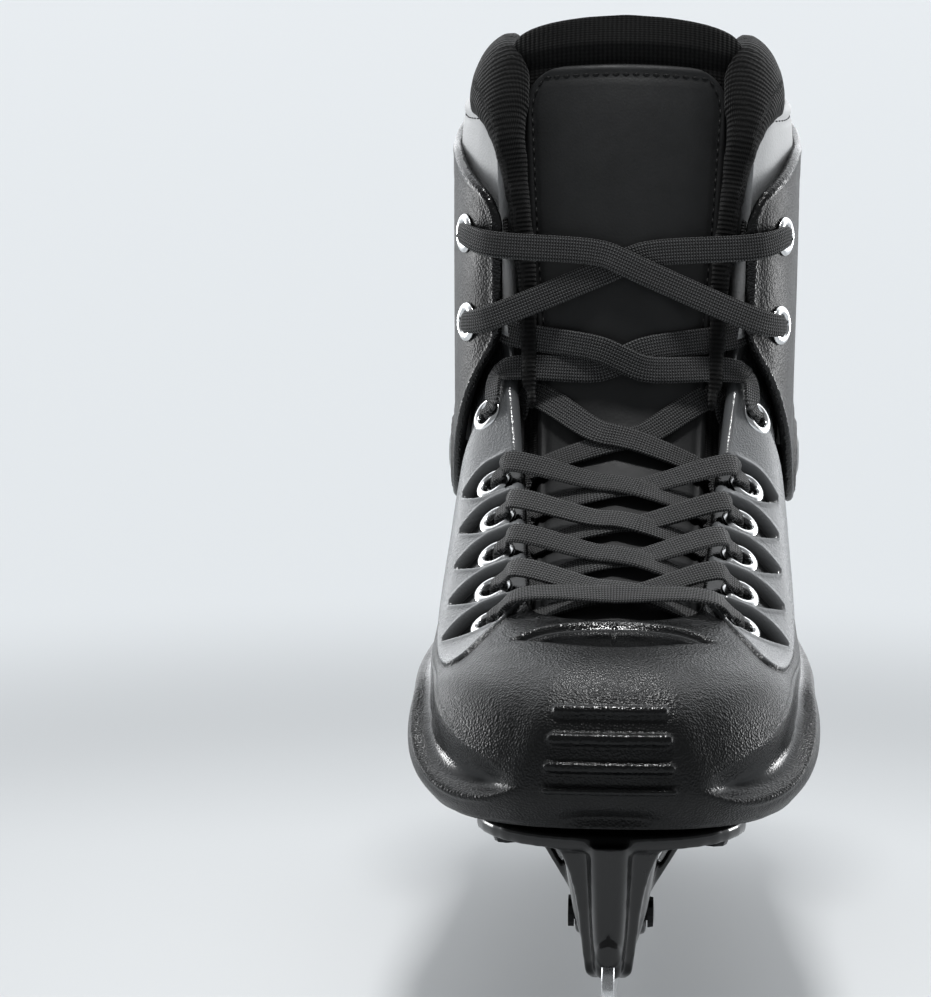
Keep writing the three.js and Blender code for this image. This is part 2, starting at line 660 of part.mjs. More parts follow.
// The holder seen from the front: wide under the flange, drawn in to a slim rail.
function holderFront() {
  const shape = new THREE.Shape();
  shape.moveTo(17, HOLDER_TOP);
  shape.quadraticCurveTo(10, 50, 8.4, 34);
  shape.lineTo(6.6, HOLDER_BOTTOM + 3);
  shape.quadraticCurveTo(6.2, HOLDER_BOTTOM, 3.6, HOLDER_BOTTOM);
  shape.lineTo(-3.6, HOLDER_BOTTOM);
  shape.quadraticCurveTo(-6.2, HOLDER_BOTTOM, -6.6, HOLDER_BOTTOM + 3);
  shape.lineTo(-8.4, 34);
  shape.quadraticCurveTo(-10, 50, -17, HOLDER_TOP);
  shape.closePath();
  return shape;
}

// One of the two mounting plates under the sole, a rounded outline in (x, y).
function flangePlate(side) {
  const plate = new THREE.Shape();
  const half = side < 0 ? 40 : 32;
  plate.moveTo(-half, side * 52);
  plate.quadraticCurveTo(0, side * 40, half, side * 52);
  plate.lineTo(half - 2, side * 104);
  plate.quadraticCurveTo(half - 8, side * 130, 0, side * 131);
  plate.quadraticCurveTo(-half + 8, side * 130, -half + 2, side * 104);
  plate.closePath();
  const options = { depth: FLANGE_THICKNESS, bevelEnabled: false, curveSegments: 8 };
  const solid = new THREE.ExtrudeGeometry(plate, options);
  return withIndex(solid.translate(0, 0, HOLDER_TOP - FLANGE_THICKNESS));
}

// A thin strut that slants from the flange's side down to the bolt's boss.
function strut(side, end) {
  const shape = new THREE.Shape();
  shape.moveTo(20, HOLDER_TOP - FLANGE_THICKNESS + 0.5);
  shape.lineTo(23, HOLDER_TOP - FLANGE_THICKNESS + 0.5);
  shape.lineTo(BOSS_HALF_WIDTH, BLADE_BOLT_Z + 5.4);
  shape.lineTo(7, BLADE_BOLT_Z + 3);
  shape.closePath();
  const bar = new THREE.ExtrudeGeometry(shape, { depth: 14, bevelEnabled: false });
  const placed = withIndex(bar.rotateX(Math.PI / 2).translate(0, end * BLADE_BOLT_Y + 7, 0));
  return side > 0 ? placed : mirrored(placed);
}

const rivetPlaces = [-1, 1].flatMap((end) => [-1, 1].flatMap((side) => (
  (end < 0 ? [[29, -112], [31, -66]] : [[22, 112], [23, 64]]).map(([x, y]) => ({ x: side * x, y })))));

function bladeHolder() {
  const sideView = [-1, 1].map((side) => plateFrom(towerShape(side), 60));
  const railShape = outlineOf([
    [-120, HOLDER_BOTTOM], [120, HOLDER_BOTTOM], [116, RAIL_TOP], [-116, RAIL_TOP],
  ]);
  const lengthwise = { depth: 270, bevelEnabled: false, curveSegments: 8 };
  const frontView = new THREE.ExtrudeGeometry(holderFront(), lengthwise);
  frontView.rotateX(Math.PI / 2).translate(0, 135, 0);
  const spine = overlap(join(plateFrom(railShape, 60), sideView), withIndex(frontView));
  const bosses = boltAxes.map((y) => cylinderAlongX(6.5, -BOSS_HALF_WIDTH, BOSS_HALF_WIDTH, y, BLADE_BOLT_Z));
  const struts = [-1, 1].flatMap((end) => [-1, 1].map((side) => strut(side, end)));
  const body = join(spine, [flangePlate(-1), flangePlate(1), ...bosses, ...struts]);
  const slot = plateFrom(bladeShape(GAP), BLADE_THICKNESS + 2 * GAP, 6);
  const boltHoles = boltAxes.map((y) => cylinderAlongX(2.9, -30, 30, y, BLADE_BOLT_Z));
  const rivetHoles = rivetPlaces.map(({ x, y }) => (
    cylinder(RIVET_SHANK + 0.4, 20, 8).rotateX(Math.PI / 2).translate(x, y, HOLDER_TOP)));
  return cut(body, [slot, ...boltHoles, ...rivetHoles]);
}

// Fasteners, each turned about its own axis and standing out along +X or +Z.
function bladeBolt() {
  const face = BOSS_HALF_WIDTH + 0.3;
  return turned([[0, -8], [2.5, -8], [2.5, face], [4.6, face], [4.3, face + 1.6], [1.8, face + 1.8],
    [1.8, face + 0.8], [0, face + 0.8]]).rotateZ(-Math.PI / 2);
}

function bladeNut() {
  const face = -BOSS_HALF_WIDTH - 0.3;
  return turned([[0, face - 1.6], [4.6, face - 1.6], [4.6, face], [2.5, face], [2.5, -8.4], [0, -8.4]])
    .rotateZ(-Math.PI / 2);
}

// A rivet that clamps the holder's plate to the shell's sole, its upper head sunk into the sole.
function rivet() {
  const head = HOLDER_TOP - FLANGE_THICKNESS - 0.3;
  const seat = SOLE_Z + SHELL_WALL - 2 + 0.3;
  return turned([
    [0, head - 1.3], [3.4, head - 1.3], [RIVET_HEAD, head], [RIVET_SHANK, head],
    [RIVET_SHANK, seat], [RIVET_HEAD, seat], [RIVET_HEAD - 0.4, seat + 1.2], [0, seat + 1.2],
  ], 8).rotateX(Math.PI / 2);
}

// Assembly.
const skate = new THREE.Group();

function add(name, geometry, material, place = v3(0, 0, 0)) {
  const mesh = new THREE.Mesh(geometry, new THREE.MeshStandardMaterial(MATERIALS[material]));
  mesh.name = name;
  mesh.position.copy(place);
  skate.add(mesh);
}

function addPair(name, geometry, material, ending = '') {
  add(`${name}_right${ending}`, geometry, material);
  add(`${name}_left${ending}`, mirrored(geometry), material);
}

add('boot_shell', bootShell(), 'shellPlastic');
add('ankle_cuff', ankleCuff(), 'shellPlastic');
addPair('pivot_bolt', pivotBolt(), 'shellPlastic');
addPair('pivot_nut', pivotNut(), 'steel');
[...cuffEyeletSeats, ...shellEyeletSeats].forEach((seat, i) => {
  addPair('eyelet', eyelet(seat), 'steel', `_${i + 1}`);
});
add('liner_lower', linerLower(), 'foam');
add('liner_upper', linerUpper(), 'greyFabric');
add('liner_collar', collar(), 'knit');
add('footbed', footbed(), 'foam');
add('tongue_lower', tongueLower(), 'knit');
add('tongue_upper', tongueUpper(), 'knit');
add('tongue_panel', tonguePanel(), 'leatherette');
add('lace', lace(), 'lace');
add('blade_holder', bladeHolder(), 'holderPlastic');
add('blade', blade(), 'steel');
for (const [end, y] of [['front', -BLADE_BOLT_Y], ['rear', BLADE_BOLT_Y]]) {
  add(`blade_bolt_${end}`, bladeBolt(), 'steel', v3(0, y, BLADE_BOLT_Z));
  add(`blade_nut_${end}`, bladeNut(), 'steel', v3(0, y, BLADE_BOLT_Z));
}
rivetPlaces.forEach(({ x, y }, i) => add(`holder_rivet_${i + 1}`, rivet(), 'steel', v3(x, y, 0)));

export default skate;
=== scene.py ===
import math

import bmesh
import bpy
import numpy as np
from mathutils import Matrix, Vector


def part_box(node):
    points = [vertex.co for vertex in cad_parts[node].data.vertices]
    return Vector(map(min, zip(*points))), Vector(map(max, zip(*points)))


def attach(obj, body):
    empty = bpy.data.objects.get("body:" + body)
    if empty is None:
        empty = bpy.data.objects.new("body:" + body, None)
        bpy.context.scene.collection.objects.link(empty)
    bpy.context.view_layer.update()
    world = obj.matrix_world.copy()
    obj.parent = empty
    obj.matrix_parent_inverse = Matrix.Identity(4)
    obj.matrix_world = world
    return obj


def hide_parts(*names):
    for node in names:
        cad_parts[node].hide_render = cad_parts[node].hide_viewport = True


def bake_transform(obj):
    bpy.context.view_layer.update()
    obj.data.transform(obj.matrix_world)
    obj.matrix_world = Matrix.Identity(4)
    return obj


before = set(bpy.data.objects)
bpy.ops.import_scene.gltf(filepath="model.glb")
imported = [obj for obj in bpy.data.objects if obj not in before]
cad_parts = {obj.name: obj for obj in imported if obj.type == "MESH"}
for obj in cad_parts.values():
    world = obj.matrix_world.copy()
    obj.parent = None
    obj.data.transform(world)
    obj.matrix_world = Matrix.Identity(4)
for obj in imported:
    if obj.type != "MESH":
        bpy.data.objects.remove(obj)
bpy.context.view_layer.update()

# The boot's driving shapes, in millimetres, as part.mjs has them: each rail is the right half of one level
# of the shell or cuff, from the toe's centre or the cuff's front edge round to the back's centre.
MM = 0.001
MERGED = 1e-6
SHELL_WALL, CUFF_WALL = 4, 3
SOLE_Z, INSIDE_Z = 61, 88
PIVOT_Y, PIVOT_Z = 66, 140
SHELL_RAILS = [
    [[0, -140, 64.5], [25, -134.5, 64], [43, -113, 62.5], [50, -76, 61.5], [43, -12, 61],
     [38.5, 36, 61], [38, 76, 61], [30, 120, 61], [0, 139, 61]],
    [[0, -146, 78], [29, -140, 76], [51, -115, 74], [58, -76, 78], [53, -12, 82],
     [49, 36, 84], [48, 76, 84], [38, 126, 84], [0, 146, 84]],
    [[0, -141.5, 97], [26, -135, 96], [46.5, -110, 95], [54.5, -73, 93], [51, -8, 107],
     [49, 38, 116], [48.3, 76, 118], [38, 118, 118], [0, 134, 118]],
    [[0, -122, 108], [21, -118, 107.5], [37, -102, 105.5], [47, -72, 105.5], [48, -6, 134],
     [46.5, 32, 157], [47.6, 70, 162], [35, 103, 161], [0, 113.5, 160]],
    [[0, -84, 113], [16, -83, 113.5], [24, -77, 115.5], [26.5, -58, 123], [31, -8, 149],
     [36, 22, 176], [41, 66, 186], [31, 98, 186], [0, 109, 184]],
]
CUFF_RAILS = [
    [[38.5, 12.5, 181], [47, 19.6, 166.5], [51.7, 31, 150], [53.6, 50, 130], [53.7, 68, 126],
     [51, 92, 136], [34, 114, 149], [0, 123, 153]],
    [[38.5, 16, 224], [45.3, 22.5, 228.5], [50.3, 33, 233], [53.6, 49, 238], [54.6, 66, 240.5],
     [51.5, 88, 246], [34, 109, 251.5], [0, 117, 254]],
]
CUFF_EYELETS = [{"x": 49, "z": 213, "edge_x": 39.6}, {"x": 48, "z": 186, "edge_x": 39.6}]
SHELL_EYELETS = [
    {"x": 41, "y": 13.5, "pocket": 0, "edge_x": 35.1},
    {"x": 39, "y": -10, "pocket": 13, "edge_x": 32.5},
    {"x": 37, "y": -27, "pocket": 15, "edge_x": 30.5},
    {"x": 36.6, "y": -43, "pocket": 16, "edge_x": 29.5},
    {"x": 36.7, "y": -59, "pocket": 17, "edge_x": 28.5},
    {"x": 37, "y": -75, "pocket": 18, "edge_x": 27},
]
POCKET_DEPTH = 1.8
TONGUE_LINE = [[-92, 105], [-75, 111.5], [-58, 119], [-33, 131.5], [-8, 144.5], [3, 155], [9, 170],
               [12, 190], [16, 213], [22, 240], [30, 266], [38, 281]]
TONGUE_CROWN = 0.0092
LACE_WIDTH, LACE_THICKNESS, LACE_RISE = 8, 1.1, 2
LACE_STAND_OFF, LACE_OVER_EDGE, CROSSING_REACH = 5.2, 3.6, 36


# ---- Curves, surfaces and meshes -------------------------------------------------------------------

def catmull(points, share, closed=False):
    """Points at shares of the way along the uniform Catmull-Rom curve through a list of points."""
    points = np.asarray(points, float)
    share = np.asarray(share, float)
    spans = len(points) if closed else len(points) - 1
    place = (share % 1 if closed else np.clip(share, 0, 1)) * spans
    index = np.minimum(place.astype(int), spans - 1)
    if closed:
        four = [points[(index + k) % spans] for k in (-1, 0, 1, 2)]
    else:
        padded = np.concatenate([[2 * points[0] - points[1]], points, [2 * points[-1] - points[-2]]])
        four = [padded[index + k] for k in range(4)]
    p0, p1, p2, p3 = four
    w = (place - index).reshape(place.shape + (1,) * (p1.ndim - place.ndim))
    return 0.5 * (2 * p1 + (p2 - p0) * w + (2 * p0 - 5 * p1 + 4 * p2 - p3) * w**2
                  + (3 * p1 - p0 - 3 * p2 + p3) * w**3)


def both_sides(half, closed):
    """A rail's right half with its mirror image, closed through both centres or open at its front."""
    half = np.asarray(half, float)
    mirror = half[1:-1] if closed else half[:-1]
    return np.concatenate([half, mirror[::-1] * [-1, 1, 1]])


def grid_on(rails, s, t, closed):
    """The surface over a list of rails, as an array [s][t] of points."""
    levels = np.array([catmull(both_sides(rail, closed), s, closed) for rail in rails])
    return np.swapaxes(catmull(levels, t), 0, 1)


def smooth(low, high, x):
    """0 below low and 1 above high, with a soft step between."""
    w = np.clip((x - low) / (high - low), 0, 1)
    return w * w * (3 - 2 * w)


def unit(v):
    return v / np.maximum(np.linalg.norm(v, axis=-1, keepdims=True), 1e-9)


def grid_normals(grid, closed, away_from):
    """Unit normals of a grid of points, all turned away from a point inside."""
    if closed:
        wrapped = np.concatenate([grid[-1:], grid, grid[:1]])
        ds = wrapped[2:] - wrapped[:-2]
    else:
        ds = np.gradient(grid, axis=0)
    normal = unit(np.cross(ds, np.gradient(grid, axis=1)))
    facing = np.sum(normal * (grid - away_from), axis=-1, keepdims=True)
    return np.where(facing < 0, -normal, normal)


def distance_along(line):
    """The distance from a line's start to each of its points."""
    return np.concatenate([[0], np.cumsum(np.linalg.norm(np.diff(line, axis=0), axis=1))])


def add_object(name, data):
    obj = bpy.data.objects.new(name, data)
    bpy.context.scene.collection.objects.link(obj)
    return obj


def clean(mesh, merge=0):
    """Turns all faces outward and smooths them, after merging points closer than a distance."""
    work = bmesh.new()
    work.from_mesh(mesh)
    if merge:
        bmesh.ops.remove_doubles(work, verts=work.verts, dist=merge)
    bmesh.ops.recalc_face_normals(work, faces=work.faces)
    work.to_mesh(mesh)
    work.free()
    mesh.shade_smooth()


def make_mesh(name, points, faces, body, slot, material):
    """A new object from points in millimetres, riding on a body, with its material; its slot is not used."""
    mesh = bpy.data.meshes.new(name)
    mesh.from_pydata((np.asarray(points) * MM).tolist(), [], [list(map(int, f)) for f in faces])
    mesh.materials.append(material)
    obj = add_object(name, mesh)
    clean(mesh)
    if body:
        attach(obj, body)
    return obj


def with_modifiers(obj):
    """A copy of a piece's mesh as its modifiers leave it."""
    graph = bpy.context.evaluated_depsgraph_get()
    return bpy.data.meshes.new_from_object(obj.evaluated_get(graph))


def places(mesh):
    return np.array([v.co for v in mesh.vertices])


def paint(obj, name, values):
    """Stores one number for each point of a mesh, for its material to read."""
    layer = obj.data.attributes.new(name, "FLOAT", "POINT")
    layer.data.foreach_set("value", np.asarray(values, np.float32).ravel())


def quads(columns, rows, closed):
    """Faces of a grid [column][row] of points, closed round its columns or open."""
    span = columns if closed else columns - 1
    i, j = np.meshgrid(np.arange(span), np.arange(rows - 1), indexing="ij")
    here, after = i * rows + j, (i + 1) % columns * rows + j
    return np.stack([here, after, after + 1, here + 1], -1).reshape(-1, 4)


def capped(grid):
    """Faces of a grid [column][row] closed round its columns, with one face over each end."""
    columns, rows = grid.shape[:2]
    first = [i * rows for i in range(columns)]
    last = [(i + 1) * rows - 1 for i in range(columns)][::-1]
    return quads(columns, rows, True).tolist() + [first, last]


def sheet(outer, inner, closed_by=None):
    """Points and faces of a sheet between two grids of points, left open or closed by its ends or a wall."""
    columns, rows = outer.shape[:2]
    total = columns * rows
    pairs = []
    if closed_by == "ends":
        for line in (range(rows), range(total - rows, total)):
            pairs += zip(line, line[1:])
    if closed_by == "wall":
        loop = ([i * rows for i in range(columns)] + [total - rows + j for j in range(1, rows)]
                + [i * rows + rows - 1 for i in range(columns - 2, -1, -1)] + list(range(rows - 2, 0, -1)))
        pairs = zip(loop, loop[1:] + loop[:1])
    face = quads(columns, rows, False)
    faces = face.tolist() + (face[:, ::-1] + total).tolist()
    faces += [(a, b, b + total, a + total) for a, b in pairs]
    return np.concatenate([outer.reshape(-1, 3), inner.reshape(-1, 3)]), faces


def tube_faces(count, sides):
    """Faces of a closed tube over a count of rings, with its two flat ends."""
    around = []
    for i in range(count - 1):
        for k in range(sides):
            here, after = i * sides + k, i * sides + (k + 1) % sides
            around.append((here, after, after + sides, here + sides))
    return around + [tuple(range(sides))[::-1], tuple(range((count - 1) * sides, count * sides))]


def lathe(profile, sides):
    """Points and faces of a closed profile of (radius, height) turned about Z."""
    profile = np.asarray(profile, float)
    angle = np.arange(sides) * 2 * np.pi / sides
    points = np.stack([np.outer(np.cos(angle), profile[:, 0]), np.outer(np.sin(angle), profile[:, 0]),
                       np.broadcast_to(profile[:, 1], (sides, len(profile)))], -1)
    loop = np.concatenate([points, points[:, :1]], 1)
    faces = quads(sides, loop.shape[1], True)
    return loop.reshape(-1, 3), faces


# ---- Camera ----------------------------------------------------------------------------------------

def add_camera():
    """A long lens a little above the toe, at the photograph's angle."""
    elevation, azimuth, roll = math.radians(8.5), math.radians(3.0), math.radians(0.35)
    distance = 1.1
    back = Vector((math.sin(azimuth) * math.cos(elevation), -math.cos(azimuth) * math.cos(elevation),
                   math.sin(elevation)))
    aim = Vector((-0.0395, -0.146, 0.1562))
    camera = bpy.data.cameras.new("view")
    camera.lens = 147.8
    camera.sensor_fit = "VERTICAL"
    camera.sensor_height = 36
    camera.clip_end = 200
    obj = add_object("view", camera)
    obj.location = aim + back * distance
    facing = (aim - obj.location).to_track_quat("-Z", "Y").to_matrix()
    obj.rotation_euler = (facing @ Matrix.Rotation(roll, 3, "Z")).to_euler()
    bpy.context.scene.camera = obj


add_camera()

# ---- Materials -------------------------------------------------------------------------------------

class Nodes:
    """A short way to write a material: a Principled shader with a few nodes in front of it."""

    def __init__(self, name, rough=0.5, metal=0.0, coat=0.0, coat_rough=0.1, sheen=0.0, specular=0.5):
        self.material = bpy.data.materials.new(name)
        self.material.use_nodes = True
        self.tree = self.material.node_tree
        self.shader = self.tree.nodes["Principled BSDF"]
        given = {"Roughness": rough, "Metallic": metal, "Coat Weight": coat, "Coat Roughness": coat_rough,
                 "Sheen Weight": sheen, "Specular IOR Level": specular}
        for socket, value in given.items():
            self.shader.inputs[socket].default_value = value
        self.place = self.node("ShaderNodeTexCoord").outputs["Object"]

    def node(self, kind, **values):
        made = self.tree.nodes.new(kind)
        for key, value in values.items():
            setattr(made, key, value)
        return made

    def put(self, socket, value):
        if hasattr(value, "is_linked"):
            self.tree.links.new(value, socket)
        else:
            socket.default_value = value

    def noise(self, scale, detail=3, rough=0.6, stretch=(1, 1, 1)):
        mapping = self.node("ShaderNodeMapping")
        self.put(mapping.inputs["Vector"], self.place)
        mapping.inputs["Scale"].default_value = stretch
        noise = self.node("ShaderNodeTexNoise")
        self.put(noise.inputs["Vector"], mapping.outputs["Vector"])
        noise.inputs["Scale"].default_value = scale
        noise.inputs["Detail"].default_value = detail
        noise.inputs["Roughness"].default_value = rough
        return noise.outputs["Fac"]

    def cells(self, scale):
        voronoi = self.node("ShaderNodeTexVoronoi")
        self.put(voronoi.inputs["Vector"], self.place)
        voronoi.inputs["Scale"].default_value = scale
        return voronoi.outputs["Distance"]

    def attribute(self, name):
        return self.node("ShaderNodeAttribute", attribute_name=name).outputs["Fac"]

    def math(self, operation, a, b=0.0):
        made = self.node("ShaderNodeMath", operation=operation)
        self.put(made.inputs[0], a)
        self.put(made.inputs[1], b)
        return made.outputs[0]

    def span(self, value, low, high, out_low, out_high):
        made = self.node("ShaderNodeMapRange", interpolation_type="SMOOTHSTEP")
        for socket, given in zip(made.inputs, (value, low, high, out_low, out_high)):
            self.put(socket, given)
        return made.outputs[0]

    def mix(self, share, a, b):
        made = self.node("ShaderNodeMix", data_type="RGBA")
        self.put(made.inputs["Factor"], share)
        self.put(made.inputs["A"], a)
        self.put(made.inputs["B"], b)
        return made.outputs["Result"]

    def color(self, value):
        self.put(self.shader.inputs["Base Color"], value)

    def rough(self, value):
        self.put(self.shader.inputs["Roughness"], value)

    def bump(self, *layers):
        """Height layers, each (height, distance in metres, strength)."""
        normal = None
        for height, distance, strength in layers:
            made = self.node("ShaderNodeBump")
            made.inputs["Distance"].default_value = distance
            made.inputs["Strength"].default_value = strength
            self.put(made.inputs["Height"], height)
            if normal:
                self.put(made.inputs["Normal"], normal)
            normal = made.outputs["Normal"]
        self.put(self.shader.inputs["Normal"], normal)
        return self.material


def grey(value, blue=0.0):
    return (value, value * (1 + blue / 2), value * (1 + blue), 1)


def shell_plastic():
    """Moulded black plastic: fine grain on the toe and sides, smoother on the eyestays and scoops; a lighter
    grey on the raised eyestays and a painted highlight in the scoops' hollows.
    """
    n = Nodes("shell_plastic", specular=0.38)
    gloss = n.attribute("gloss")
    grain = n.cells(1500)
    patch = n.noise(90)
    scuff = n.span(n.noise(38, 6, 0.75), 0.62, 0.8, 0, 1)
    # Colour by the lift mask: the raised eyestays' own lighter grey, and a painted highlight in the bumper
    # scoops' hollows.
    lift = n.mix(n.attribute("lift"), grey(0.006, 0.08), grey(0.12, 0.06))
    n.color(n.mix(scuff, lift, grey(0.016, 0.05)))
    matte = n.span(patch, 0.3, 0.7, 0.32, 0.4)
    n.rough(n.math("SUBTRACT", n.math("ADD", matte, n.math("MULTIPLY", scuff, 0.08)),
                   n.math("MULTIPLY", gloss, 0.24)))
    depth = n.math("MULTIPLY", grain, n.math("SUBTRACT", 1.0, n.math("MULTIPLY", gloss, 0.93)))
    return n.bump((patch, 0.0004, 0.12), (depth, 0.00035, 0.6))


def cuff_plastic():
    n = Nodes("cuff_plastic", specular=0.45)
    grain = n.cells(1250)
    patch = n.noise(60)
    n.color(n.mix(n.span(n.noise(28, 5, 0.7), 0.45, 0.75, 0, 1), grey(0.007, 0.05), grey(0.014, 0.05)))
    edge = n.math("MULTIPLY", n.attribute("edge"), 0.24)
    n.rough(n.math("SUBTRACT", n.span(patch, 0.3, 0.7, 0.42, 0.52), edge))
    return n.bump((patch, 0.0005, 0.15), (grain, 0.00035, 0.5))


def gloss_plastic(name="holder_plastic"):
    n = Nodes(name, coat=0.35, coat_rough=0.08, specular=0.55)
    wave = n.noise(45, 2, 0.5)
    wear = n.span(n.noise(160, 5, 0.7), 0.6, 0.8, 0, 1)
    n.color(n.mix(wear, grey(0.004, 0.1), grey(0.012, 0.06)))
    n.rough(n.math("ADD", n.span(wave, 0.3, 0.7, 0.16, 0.28), n.math("MULTIPLY", wear, 0.15)))
    return n.bump((wave, 0.0006, 0.25))


def ground_steel():
    """Ground stainless steel, with fine lines along the runner."""
    n = Nodes("ground_steel", metal=1.0)
    lines = n.noise(900, 4, 0.7, (1, 0.02, 1))
    cloud = n.noise(30, 3, 0.6)
    n.color(n.mix(cloud, grey(0.55, 0.02), grey(0.72, 0.03)))
    n.rough(n.span(lines, 0.3, 0.7, 0.2, 0.36))
    return n.bump((lines, 0.00006, 0.5))


def spotted_steel(name, scale, low, high, rough, dents, strength):
    """Plated or blackened steel, with fine spots and faint dents."""
    n = Nodes(name, metal=1.0)
    spots = n.noise(scale, 4, 0.7)
    n.color(n.mix(spots, low, high))
    n.rough(n.span(spots, 0.3, 0.7, *rough))
    return n.bump((n.noise(dents), 0.0001, strength))


def knit_fabric():
    """A rib knit: rounded ribs with small stitches along each, coloured darker in the grooves as painted
    shade.
    """
    n = Nodes("rib_knit", rough=0.95, sheen=0.12, specular=0.2)
    n.shader.inputs["Sheen Roughness"].default_value = 0.45
    rib = n.math("SINE", n.math("MULTIPLY", n.attribute("across"), 2 * math.pi / 1.4))
    loop = n.math("SINE", n.math("MULTIPLY", n.attribute("along"), 2 * math.pi / 0.9))
    height = n.math("ADD", n.math("MULTIPLY", rib, 0.7), n.math("MULTIPLY", loop, 0.3))
    fuzz = n.noise(1400, 3, 0.7)
    # Colour follows the rib height: painted shade in the grooves between ribs and a painted highlight on
    # their tops.
    n.color(n.mix(n.span(height, -0.6, 0.9, 0, 1), grey(0.008), grey(0.018)))
    n.rough(n.span(fuzz, 0.3, 0.7, 0.88, 1.0))
    return n.bump((fuzz, 0.0003, 0.4), (height, 0.00022, 0.7))


def woven_lace():
    """A flat woven lace: rows of short slanted yarns, with painted shade in the gaps between them."""
    n = Nodes("woven_lace", rough=0.9, sheen=0.2, specular=0.25)
    across, along = n.attribute("across"), n.attribute("along")
    rows = n.math("SINE", n.math("MULTIPLY", across, 2 * math.pi / 0.95))
    yarn = n.math("SINE", n.math("ADD", n.math("MULTIPLY", along, 2 * math.pi / 0.85),
                                 n.math("MULTIPLY", rows, 1.2)))
    height = n.math("ADD", n.math("MULTIPLY", rows, 0.45), n.math("MULTIPLY", yarn, 0.55))
    fuzz = n.noise(1600, 3, 0.7)
    # Colour follows the yarn height: painted shade in the gaps and a painted highlight on the yarns' tops.
    n.color(n.mix(n.span(height, -0.5, 0.9, 0, 1), grey(0.014), grey(0.13, 0.02)))
    n.rough(n.span(fuzz, 0.3, 0.7, 0.8, 0.95))
    return n.bump((fuzz, 0.00025, 0.4), (height, 0.00035, 0.8))


def leatherette():
    n = Nodes("leatherette", specular=0.4)
    pores = n.cells(1100)
    creases = n.noise(120, 5, 0.65)
    n.color(n.mix(creases, grey(0.018, 0.05), grey(0.026, 0.05)))
    n.rough(n.span(creases, 0.3, 0.7, 0.5, 0.62))
    return n.bump((creases, 0.0003, 0.15), (pores, 0.00012, 0.3))


def cloth(name, low, high, rough, uneven, weave, sheen=0.0, specular=0.2):
    """Cloth with an unevenness and a finer weave, each as a scale, a distance in metres and a strength."""
    n = Nodes(name, sheen=sheen, specular=specular)
    threads = n.cells(weave[0])
    soft = n.noise(uneven[0], 4, 0.6)
    n.color(n.mix(soft, low, high))
    n.rough(n.span(soft, 0.3, 0.7, *rough))
    return n.bump((soft, *uneven[1:]), (threads, *weave[1:]))


def thread():
    n = Nodes("thread", rough=0.6, specular=0.4)
    twist = n.noise(2500, 2, 0.5)
    n.color(n.mix(twist, grey(0.006), grey(0.03)))
    n.rough(n.span(twist, 0.3, 0.7, 0.5, 0.7))
    return n.bump((twist, 0.0001, 0.5))


SHELL = shell_plastic()
CUFF = cuff_plastic()
HOLDER = gloss_plastic()
STEEL = ground_steel()
PLATED = spotted_steel("plated_steel", 700, grey(0.66, 0.02), grey(0.85, 0.02), (0.14, 0.28), 260, 0.4)
BLACK_STEEL = spotted_steel("blackened_steel", 500, grey(0.02, 0.05), grey(0.06, 0.05), (0.3, 0.45), 300,
                            0.3)
KNIT = knit_fabric()
LACE = woven_lace()
LEATHER = leatherette()
GREY_CLOTH = cloth("grey_cloth", grey(0.36, 0.02), grey(0.5, 0.02), (0.55, 0.75), (55, 0.001, 0.25),
                   (1300, 0.0002, 0.4), sheen=0.1, specular=0.35)
LINING = cloth("lining_cloth", grey(0.01), grey(0.03), (0.85, 1.0), (70, 0.001, 0.3), (900, 0.0003, 0.6))
THREAD = thread()


# ---- Seats of the eyelets --------------------------------------------------------------------------

def seat_on(rails, closed, wanted, start):
    """The surface point where two coordinates have the wanted values, with its outward normal."""
    (ka, va), (kb, vb) = wanted
    s, t = start
    step = 1e-4

    def at(a, b):
        return grid_on(rails, [a], [b], closed)[0, 0]

    for _ in range(30):
        here = at(s, t)
        ds = (at(s + step, t) - here) / step
        dt = (at(s, t + step) - here) / step
        ea, eb = va - here[ka], vb - here[kb]
        det = ds[ka] * dt[kb] - ds[kb] * dt[ka]
        s += (ea * dt[kb] - eb * dt[ka]) / det
        t += (eb * ds[ka] - ea * ds[kb]) / det
    normal = unit(np.cross(at(s + 1e-3, t) - at(s - 1e-3, t), at(s, t + 1e-3) - at(s, t - 1e-3)))
    point = at(s, t)
    return point, normal if normal @ [point[0], -20, 20] > 0 else -normal


def find_seats():
    """One seat for each row of eyelets on the right side, from the cuff's top down to the toe."""
    seats = []
    for row in CUFF_EYELETS:
        point, out = seat_on(CUFF_RAILS, False, ((0, row["x"]), (2, row["z"])), (0.12, 0.4))
        edge = seat_on(CUFF_RAILS, False, ((0, row["edge_x"]), (2, row["z"])), (0.05, 0.4))
        seats.append({"point": point, "out": out, "edge": edge, "wall": CUFF_WALL, "pocket": 0})
    for row in SHELL_EYELETS:
        point, out = seat_on(SHELL_RAILS, True, ((0, row["x"]), (1, row["y"])), (0.22, 0.9))
        edge = seat_on(SHELL_RAILS, True, ((0, row["edge_x"]), (1, row["y"])), (0.22, 0.95))
        sunk = POCKET_DEPTH if row["pocket"] else 0
        seats.append({"point": point - out * sunk, "out": out, "edge": edge, "wall": SHELL_WALL - sunk,
                      "pocket": row["pocket"]})
    for seat in seats:
        inward = np.array([-1.0, 0, 0])
        seat["inward"] = unit(inward - seat["out"] * (inward @ seat["out"]))
        across = np.cross(seat["out"], seat["inward"])
        seat["up"] = across if across[2] > 0 else -across
    return seats


SEATS = find_seats()


def on_side(vector, side):
    return np.asarray(vector) * [side, 1, 1]


# ---- Lace ------------------------------------------------------------------------------------------

